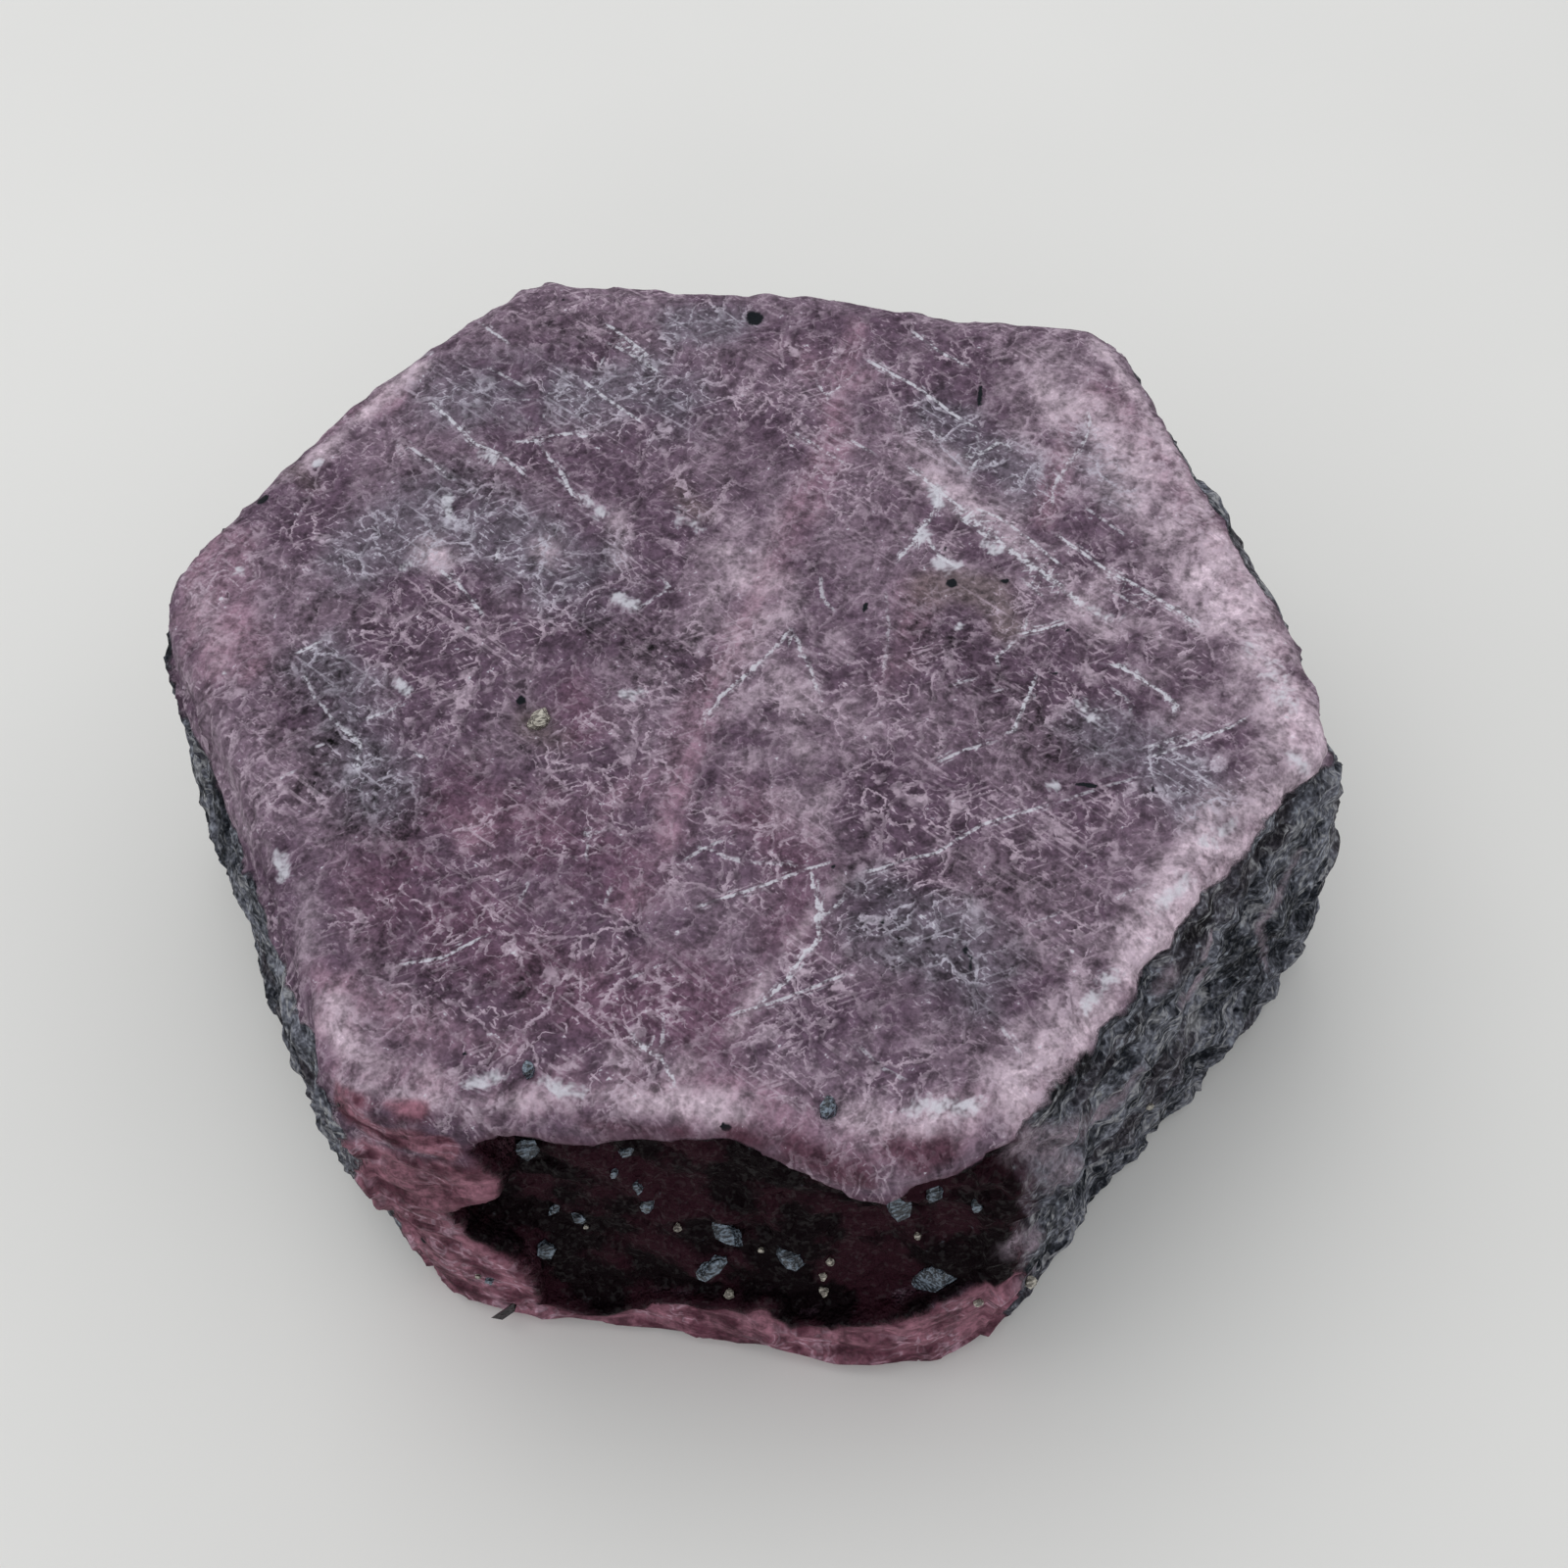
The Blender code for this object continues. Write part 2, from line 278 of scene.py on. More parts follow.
def levels():
    # height and inset of each ring, from the underside's edge to the top's
    c = crystal
    rings = []
    for k in range(c["roundSteps"] + 1):
        turn = math.pi / 2 * k / c["roundSteps"]
        rings.append((c["footRise"] * (1 - math.cos(turn)), c["footInset"] * (1 - math.sin(turn))))
    shoulder = c["height"] - c["rimDrop"]
    for k in range(1, c["sideLevels"]):
        rings.append((c["footRise"] + (shoulder - c["footRise"]) * k / c["sideLevels"], 0.0))
    for k in range(c["roundSteps"] + 1):
        turn = math.pi / 2 * k / c["roundSteps"]
        rings.append((shoulder + c["rimDrop"] * math.sin(turn), c["rimInset"] * (1 - math.cos(turn))))
    return rings


def newObject(name, mesh):
    thing = bpy.data.objects.new(name, mesh)
    scene.collection.objects.link(thing)
    return thing


def bakedMesh(thing):
    bpy.context.view_layer.update()
    depsgraph = bpy.context.evaluated_depsgraph_get()
    return bpy.data.meshes.new_from_object(thing.evaluated_get(depsgraph))


def makeBlank():
    loop = smoothLoop(crystal["stations"], crystal["outlineSpacing"])
    count = len(loop)
    bm = bmesh.new()
    rings = []
    for height, inset in levels():
        share = height / crystal["height"]
        places = [foot.lerp(rim, share) for rim, foot in loop]
        outward = crystal["sideBulge"] * 4 * share * (1 - share) - inset
        ring = []
        for i, place in enumerate(places):
            along = places[(i + 1) % count] - places[i - 1]
            moved = place + Vector((-along.y, along.x)).normalized() * outward
            ring.append(bm.verts.new((moved.x, moved.y, height)))
        rings.append(ring)
    for lower, upper in zip(rings, rings[1:]):
        for i in range(count):
            j = (i + 1) % count
            bm.faces.new((lower[i], upper[i], upper[j], lower[j]))
    bm.faces.new(rings[0])
    bm.faces.new(reversed(rings[-1]))
    bmesh.ops.recalc_face_normals(bm, faces=bm.faces)
    mesh = bpy.data.meshes.new("blank")
    bm.to_mesh(mesh)
    bm.free()
    return newObject("crystal", mesh)


def makeRecessCutter():
    outline = bpy.data.curves.new("recessOutline", "CURVE")
    outline.dimensions = "2D"
    outline.fill_mode = "BOTH"
    outline.extrude = recess["cutterDepth"]
    spline = outline.splines.new("POLY")
    spline.points.add(len(recess["outline"]) - 1)
    for point, (x, height) in zip(spline.points, recess["outline"]):
        point.co = (x, height, 0.0, 1.0)
    spline.use_cyclic_u = True
    drawn = newObject("recessOutline", outline)
    mesh = bakedMesh(drawn)
    bpy.data.objects.remove(drawn, do_unlink=True)
    bm = bmesh.new()
    bm.from_mesh(mesh)
    bmesh.ops.remove_doubles(bm, verts=bm.verts, dist=0.0001)
    bm.to_mesh(mesh)
    bm.free()
    floorTop = recess["faceTopY"] + recess["topDepth"]
    floorFoot = recess["faceFootY"] + recess["footDepth"]
    lean = math.atan2(floorTop - floorFoot, crystal["height"] - crystal["rimDrop"])
    upright = Matrix.Rotation(math.pi / 2 - lean, 4, "X")
    outside = Matrix.Translation((0.0, 0.0, outline.extrude))
    mesh.transform(Matrix.Translation((0.0, floorFoot, 0.0)) @ upright @ outside)
    return newObject("recessCutter", mesh)


def insideBy(x, y, outline):
    # how far a point is inside an outline; negative outside it
    inside, nearest = False, 1e9
    before = outline[-1]
    for after in outline:
        (ax, ay), (bx, by) = before, after
        if (ay > y) != (by > y) and x < (bx - ax) * (y - ay) / (by - ay) + ax:
            inside = not inside
        dx, dy = bx - ax, by - ay
        t = min(1.0, max(0.0, ((x - ax) * dx + (y - ay) * dy) / (dx * dx + dy * dy)))
        nearest = min(nearest, math.hypot(x - ax - t * dx, y - ay - t * dy))
        before = after
    return nearest if inside else -nearest


def recessDepth(place):
    # how far a place is inside the recess's outline
    if place.y > recess["behindY"] or abs(place.x) > recess["besideX"]:
        return recess["farOutside"]
    return insideBy(place.x, place.z, recess["outline"])


def skinDepth(place, angle):
    # how far a place is inside the skin's edge
    degrees = math.degrees(angle)
    table = skin["upperEdge"]
    top = table[0][1]
    for (a, high), (b, low) in zip(table, table[1:]):
        if a <= degrees <= b:
            top = high + (low - high) * (degrees - a) / (b - a)
    leftEdge = skin["bareFrom"][0] + skin["bareFrom"][1] * place.z
    rightEdge = skin["bareTo"][0] + skin["bareTo"][1] * place.z
    aside = max(leftEdge - degrees, degrees - rightEdge)
    return min(top - place.z, math.radians(aside) * skin["meanRadius"])


def skinRelief(place, angle):
    # how far the stone stands out on a prism face, and how sharp a crest it is
    s = skin
    around = ((angle - math.radians(s["seamAngle"])) % (2 * math.pi)) * s["meanRadius"]
    lumps = noise.noise(place / s["lumpSize"]) * s["lumpHeight"]
    lean = math.radians(s["ridgeLean"])
    across = around * math.cos(lean) + place.z * math.sin(lean)
    along = place.z * math.cos(lean) - around * math.sin(lean)
    crest = 1 - 3 * abs(noiseAt(across / s["ridgeWidth"], along / s["ridgeLength"], 3.7))
    sway = noiseAt(around / s["stepSway"], place.z / s["stepSway"], 8.1)
    steps = ((place.z / s["stepRise"] + 2 * sway) % 1 - 0.5) * s["stepHeight"]
    relief = lumps + crest * s["ridgeHeight"] + steps
    if s["frontFrom"] < math.degrees(angle) < s["frontTo"]:
        return relief * s["frontShare"], crest
    edge = s["edge"] + s["edgeSway"] * noiseAt(around / 3.0, 0.0, 5.3)
    return relief + s["thickness"] * (1 - smoothStep(edge - 0.5, edge + 0.5, place.z)), crest


def knobRelief(place):
    rise = 0.0
    for x, y, height, radius, top in crystal["knobs"]:
        away = (place - Vector((x, y, height))).length / radius
        if away < 3:
            rise += top * math.exp(-away * away)
    return rise


def fineRelief(place, inSkin, inRecess):
    # the small relief that the solids leave out, and how raised it is
    if inRecess > 0:
        lump = noise.noise(place / recess["lumpSize"])
        crumb = 1 - 3 * abs(noise.noise(place / recess["crumbSize"]))
        return lump * recess["lumpHeight"] + crumb * recess["crumbHeight"], crumb
    if inSkin > 0:
        knot = 1 - 3 * abs(noise.noise(place / skin["knotSize"]))
        crumb = noise.noise(place / skin["crumbSize"])
        return knot * skin["knotHeight"] + crumb * skin["crumbHeight"], knot * 0.5 + crumb
    b = bareStone
    sway = noise.noise(place / 4.0)
    growth = ((place.z + 0.6 * sway) / b["lineRise"] % 1 - 0.5) * b["lineHeight"]
    streak = noiseAt(place.x / b["streakLength"], place.y / b["streakLength"], place.z / b["streakRise"])
    return growth + streak * b["streakHeight"], streak


def carve(mesh):
    # moves each vertex along its normal; returns what the finish has to know about each
    names = ("skinDepth", "recessDepth", "crest", "bareFront", "mottle", "blot", "broken", "patchy")
    fields = {name: [] for name in names}
    places = [v.co.copy() for v in mesh.vertices]
    normals = [v.normal.copy() for v in mesh.vertices]
    c, b = crystal, bareStone
    for vertex, place, normal in zip(mesh.vertices, places, normals):
        angle = math.atan2(place.y, place.x)
        inSkin = skinDepth(place, angle)
        inRecess = recessDepth(place)
        side = 1 - smoothStep(0.45, 0.9, abs(normal.z))
        first, second, third, last = b["frontAngles"]
        degrees = math.degrees(angle)
        front = smoothStep(first, second, degrees) * (1 - smoothStep(third, last, degrees))
        belowLip = 1 - smoothStep(*b["lipFoot"], place.z)
        raised = 0.0
        if place.z < c["flatBand"]:
            vertex.co.z = 0.0
        else:
            nearFoot = smoothStep(0.0, c["footRise"], place.z)
            nearRim = 1 - smoothStep(c["height"] - 2 * c["rimDrop"], c["height"], place.z)
            relief, crest = skinRelief(place, angle)
            fine, raised = fineRelief(place, inSkin, inRecess)
            chips = noise.noise(place / b["chipSize"]) * b["chipHeight"]
            swell = noiseAt(place.x / b["swellSize"], place.y / b["swellSize"], 0.0) * b["swell"]
            upper = smoothStep(c["height"] / 2, c["height"], place.z) * (1 - side)
            move = relief * side * nearFoot * (0.35 + 0.65 * nearRim)
            move += fine * side * nearFoot * max(nearRim, 0.3)
            move += chips * (1 - nearRim) * max(side, 1 - smoothStep(0.9, 0.999, abs(normal.z)))
            move += swell * upper + knobRelief(place)
            raised += 0.6 * crest
            vertex.co = place + normal * move
            vertex.co.z = max(vertex.co.z, 0.0)
        shifted = place + Vector(noiseShift)
        found = (
            min(inSkin, side * 4 - 1.2),  # the skin never spreads over the ground top
            inRecess,
            raised,
            side * front * belowLip,
            cloud(shifted, 6.0, 4),
            cloud(shifted, 1.5, 2),
            cloud(shifted, 0.9, 1),
            cloud(shifted, 3.2, 2),
        )
        for name, value in zip(names, found):
            fields[name].append(value)
    return fields


def wanderField(mesh):
    # how far the texture wanders from the true place, in mm
    noise.seed_set(5)  # else noise_vector takes its seed from the clock
    values = []
    for vertex in mesh.vertices:
        place = vertex.co
        values.extend(noise.noise_vector(place / 2.6) * 1.1 + noise.noise_vector(place / 0.9) * 0.4)
    mesh.attributes.new("wander", "FLOAT_VECTOR", "POINT").data.foreach_set("vector", values)


def closeUnderside(mesh):
    # one flat face in place of the underside's fine net
    bm = bmesh.new()
    bm.from_mesh(mesh)
    flat = [f for f in bm.faces if all(v.co.z == 0.0 for v in f.verts)]
    bmesh.ops.dissolve_faces(bm, faces=flat, use_verts=True)
    bm.to_mesh(mesh)
    bm.free()


def shapeCrystal():
    thing = makeBlank()
    cutter = makeRecessCutter()
    cut = thing.modifiers.new("recess", "BOOLEAN")
    cut.operation = "DIFFERENCE"
    cut.solver = "EXACT"
    cut.object = cutter
    even = thing.modifiers.new("evenMesh", "REMESH")
    even.mode = "VOXEL"
    even.voxel_size = crystal["voxel"]
    mesh = bakedMesh(thing)
    thing.modifiers.clear()
    thing.data = mesh
    bpy.data.objects.remove(cutter, do_unlink=True)
    for name, values in carve(mesh).items():
        addField(mesh, name, values)
    wanderField(mesh)
    return thing


def addField(mesh, name, values):
    mesh.attributes.new(name, "FLOAT", "POINT").data.foreach_set("value", values)


stone = shapeCrystal()
print("crystal carved:", len(stone.data.vertices), "vertices")


# Marks on the stone, each laid on the surface under named pixels of the photo
marks = {
    "spacing": 0.15,  # between the samples of a line
    "reach": 1.2,
    "hold": 0.45,
    "kinds": {  # width of the hair in mm, and how much it wavers
        "scratchesDown": (0.15, 0.3),
        "scratchesAcross": (0.13, 0.5),
        "veins": (0.15, 1.2),
    },
    # strength, then the pixels a line runs through
    "scratchesDown": [
        (1.0, [(436, 408), (460, 428), (484, 452), (512, 464), (540, 489)]),
        (0.7, [(408, 448), (436, 468), (468, 492)]), (0.5, [(400, 444), (412, 472)]),
        (0.6, [(492, 372), (540, 397)]), (0.8, [(488, 328), (504, 340), (524, 354)]),
        (0.8, [(592, 386), (620, 408), (660, 434)]), (0.9, [(616, 328), (640, 346), (666, 366)]),
        (0.7, [(616, 348), (652, 366), (678, 384)]), (0.5, [(561, 483), (607, 517)]),
        (1.0, [(882, 366), (934, 394), (972, 422), (998, 438)]),
        (0.9, [(928, 336), (960, 360), (996, 378)]), (0.8, [(810, 440), (848, 464), (866, 476)]),
        (0.7, [(858, 442), (880, 456), (896, 466)]), (0.6, [(912, 434), (928, 446)]),
        (0.6, [(940, 432), (968, 452)]),
        (1.0, [(924, 474), (960, 502), (996, 532), (1028, 558), (1060, 580), (1092, 604), (1112, 620)]),
        (0.9, [(972, 524), (1020, 556), (1076, 596), (1108, 622)]),
        (0.8, [(988, 516), (1020, 528), (1050, 550), (1090, 584)]),
        (1.0, [(1076, 544), (1124, 578), (1164, 600), (1204, 624), (1228, 644)]),
        (0.6, [(1104, 516), (1128, 532), (1156, 552)]), (0.6, [(1130, 600), (1170, 624)]),
        (0.8, [(1042, 590), (1068, 612)]), (0.8, [(444, 578), (468, 596), (496, 632)]),
        (0.6, [(1020, 1045), (1045, 1080)]), (0.5, [(870, 1060), (900, 1090), (930, 1105)]),
    ],
    "scratchesAcross": [
        (0.8, [(710, 925), (760, 910), (810, 892), (855, 877)]),
        (0.8, [(880, 890), (955, 870), (1005, 840), (1080, 818)]),
        (0.5, [(1080, 818), (1140, 800), (1172, 790)]),
        (0.7, [(740, 1037), (780, 1025), (830, 1007), (870, 990)]), (0.6, [(640, 1000), (680, 980)]),
        (0.8, [(405, 985), (454, 976), (503, 951)]), (0.7, [(368, 736), (395, 726), (420, 715)]),
        (0.9, [(300, 668), (332, 652)]), (0.9, [(1172, 772), (1212, 760), (1260, 740), (1280, 728)]),
        (0.6, [(1164, 764), (1204, 752), (1228, 744)]), (0.7, [(950, 780), (977, 768), (1020, 756)]),
        (0.6, [(968, 699), (1001, 691)]), (1.0, [(1012, 706), (1028, 702)]),
        (1.0, [(1048, 632), (1046, 645), (1072, 640), (1092, 634)]),
        (1.0, [(1036, 654), (1016, 671), (1021, 684)]), (0.7, [(316, 764), (340, 756)]),
        (0.7, [(288, 792), (308, 784)]), (0.6, [(328, 781), (344, 776)]),
        (0.8, [(420, 767), (440, 776)]), (0.6, [(695, 880), (720, 865), (745, 855)]),
        (0.5, [(922, 962), (951, 952)]), (0.5, [(1041, 948), (1090, 927)]),
        (0.6, [(1138, 916), (1175, 900)]), (0.5, [(506, 407), (557, 409)]),
    ],
    "veins": [
        (0.9, [(825, 885), (835, 930), (835, 960), (810, 990), (795, 1010), (771, 1029)]),
        (0.7, [(865, 910), (850, 925), (835, 940)]),
        (0.8, [(520, 452), (548, 450), (564, 444), (588, 442), (608, 448)]),
        (0.8, [(548, 450), (572, 480), (584, 504), (596, 520)]), (0.5, [(556, 412), (552, 440)]),
        (0.6, [(616, 360), (604, 388)]),
        (0.9, [(1128, 678), (1148, 682), (1164, 692), (1184, 704), (1200, 720), (1196, 736)]),
        (0.7, [(1132, 700), (1148, 712), (1156, 732)]),
        (0.8, [(808, 640), (788, 664), (760, 690), (735, 710), (715, 745)]),
        (0.7, [(808, 644), (820, 668), (832, 692), (840, 712)]),
        (0.6, [(836, 584), (840, 612), (856, 628)]),
        (1.0, [(956, 496), (956, 516), (940, 540), (928, 560), (912, 578)]),
        (1.0, [(944, 545), (957, 566), (980, 580)]),
        (0.8, [(980, 464), (996, 468), (1020, 452), (1036, 456)]),
        (0.7, [(996, 438), (998, 468), (985, 490)]),
        (0.6, [(310, 680), (323, 715), (345, 740), (358, 745)]),
        (0.8, [(340, 736), (368, 760), (366, 792)]),
        (0.7, [(876, 380), (860, 392), (842, 404), (832, 384)]),
        (0.5, [(905, 600), (908, 640), (900, 690)]),
        (0.7, [(1112, 416), (1112, 440), (1096, 464), (1076, 496), (1072, 524)]),
        (0.9, [(1056, 688), (1050, 712), (1036, 744), (1020, 752)]), (0.7, [(508, 556), (504, 584)]),
        (0.9, [(640, 1050), (670, 1080), (695, 1110)]), (0.6, [(680, 1030), (672, 1080)]),
        (0.6, [(625, 900), (615, 930)]), (0.6, [(600, 880), (600, 850), (625, 845)]),
        (0.6, [(540, 895), (530, 925)]), (0.6, [(628, 612), (652, 620), (684, 600), (670, 585)]),
        (0.6, [(709, 864), (760, 880), (825, 885)]),
    ],
}


def surfaceNet(mesh):
    polygons = [tuple(p.vertices) for p in mesh.polygons]
    return BVHTree.FromPolygons([v.co for v in mesh.vertices], polygons)


def vertexFinder(mesh):
    finder = KDTree(len(mesh.vertices))
    for index, vertex in enumerate(mesh.vertices):
        finder.insert(vertex.co, index)
    finder.balance()
    return finder


net = surfaceNet(stone.data)
finder = vertexFinder(stone.data)
vertexNormals = [v.normal.copy() for v in stone.data.vertices]
turnToWorld = cameraTurn()


def touch(px, py):
    # place and normal of the surface under one pixel of the photo
    half = view["frameSide"] / 2
    ray = Vector(((px - half) / view["focalPixels"], (half - py) / view["focalPixels"], -1.0))
    place, normal, face, away = net.ray_cast(Vector(view["eye"]), (turnToWorld @ ray).normalized())
    return place, normal


def pathOn(pixels, spacing):
    # places and directions along a line of pixels
    places = []
    for (ax, ay), (bx, by) in zip(pixels, pixels[1:]):
        pieces = max(1, round(math.hypot(bx - ax, by - ay) / view["pixelsPerMm"] / spacing))
        for k in range(pieces):
            place, normal = touch(ax + (bx - ax) * k / pieces, ay + (by - ay) * k / pieces)
            if place:
                places.append(place)
    if len(places) < 2:
        return [(place, Vector((1.0, 0.0, 0.0))) for place in places]
    directions = [(b - a).normalized() for a, b in zip(places, places[1:])]
    return list(zip(places, directions + directions[-1:]))


def drawLines(name, strokes):
    # each vertex's signed distance from its nearest line, and the line's strength there
    count = len(stone.data.vertices)
    nearest = [marks["reach"]] * count
    offsets = [marks["reach"]] * count
    strengths = [0.0] * count
    for strength, pixels in strokes:
        path = pathOn(pixels, marks["spacing"])
        for i, (place, along) in enumerate(path):
            taper = min(1.0, (i + 1) / 4, (len(path) - i) / 4)
            for near, index, away in finder.find_range(place, marks["reach"]):
                if away < nearest[index]:
                    nearest[index] = away
                    offsets[index] = (near - place).dot(vertexNormals[index].cross(along))
                    fade = 1 - smoothStep(marks["hold"] / 2, marks["hold"], away)
                    strengths[index] = strength * taper * fade
    addField(stone.data, name + "Offset", offsets)
    addField(stone.data, name + "Strength", strengths)


for lineKind in marks["kinds"]:
    drawLines(lineKind, marks[lineKind])
print("lines drawn")


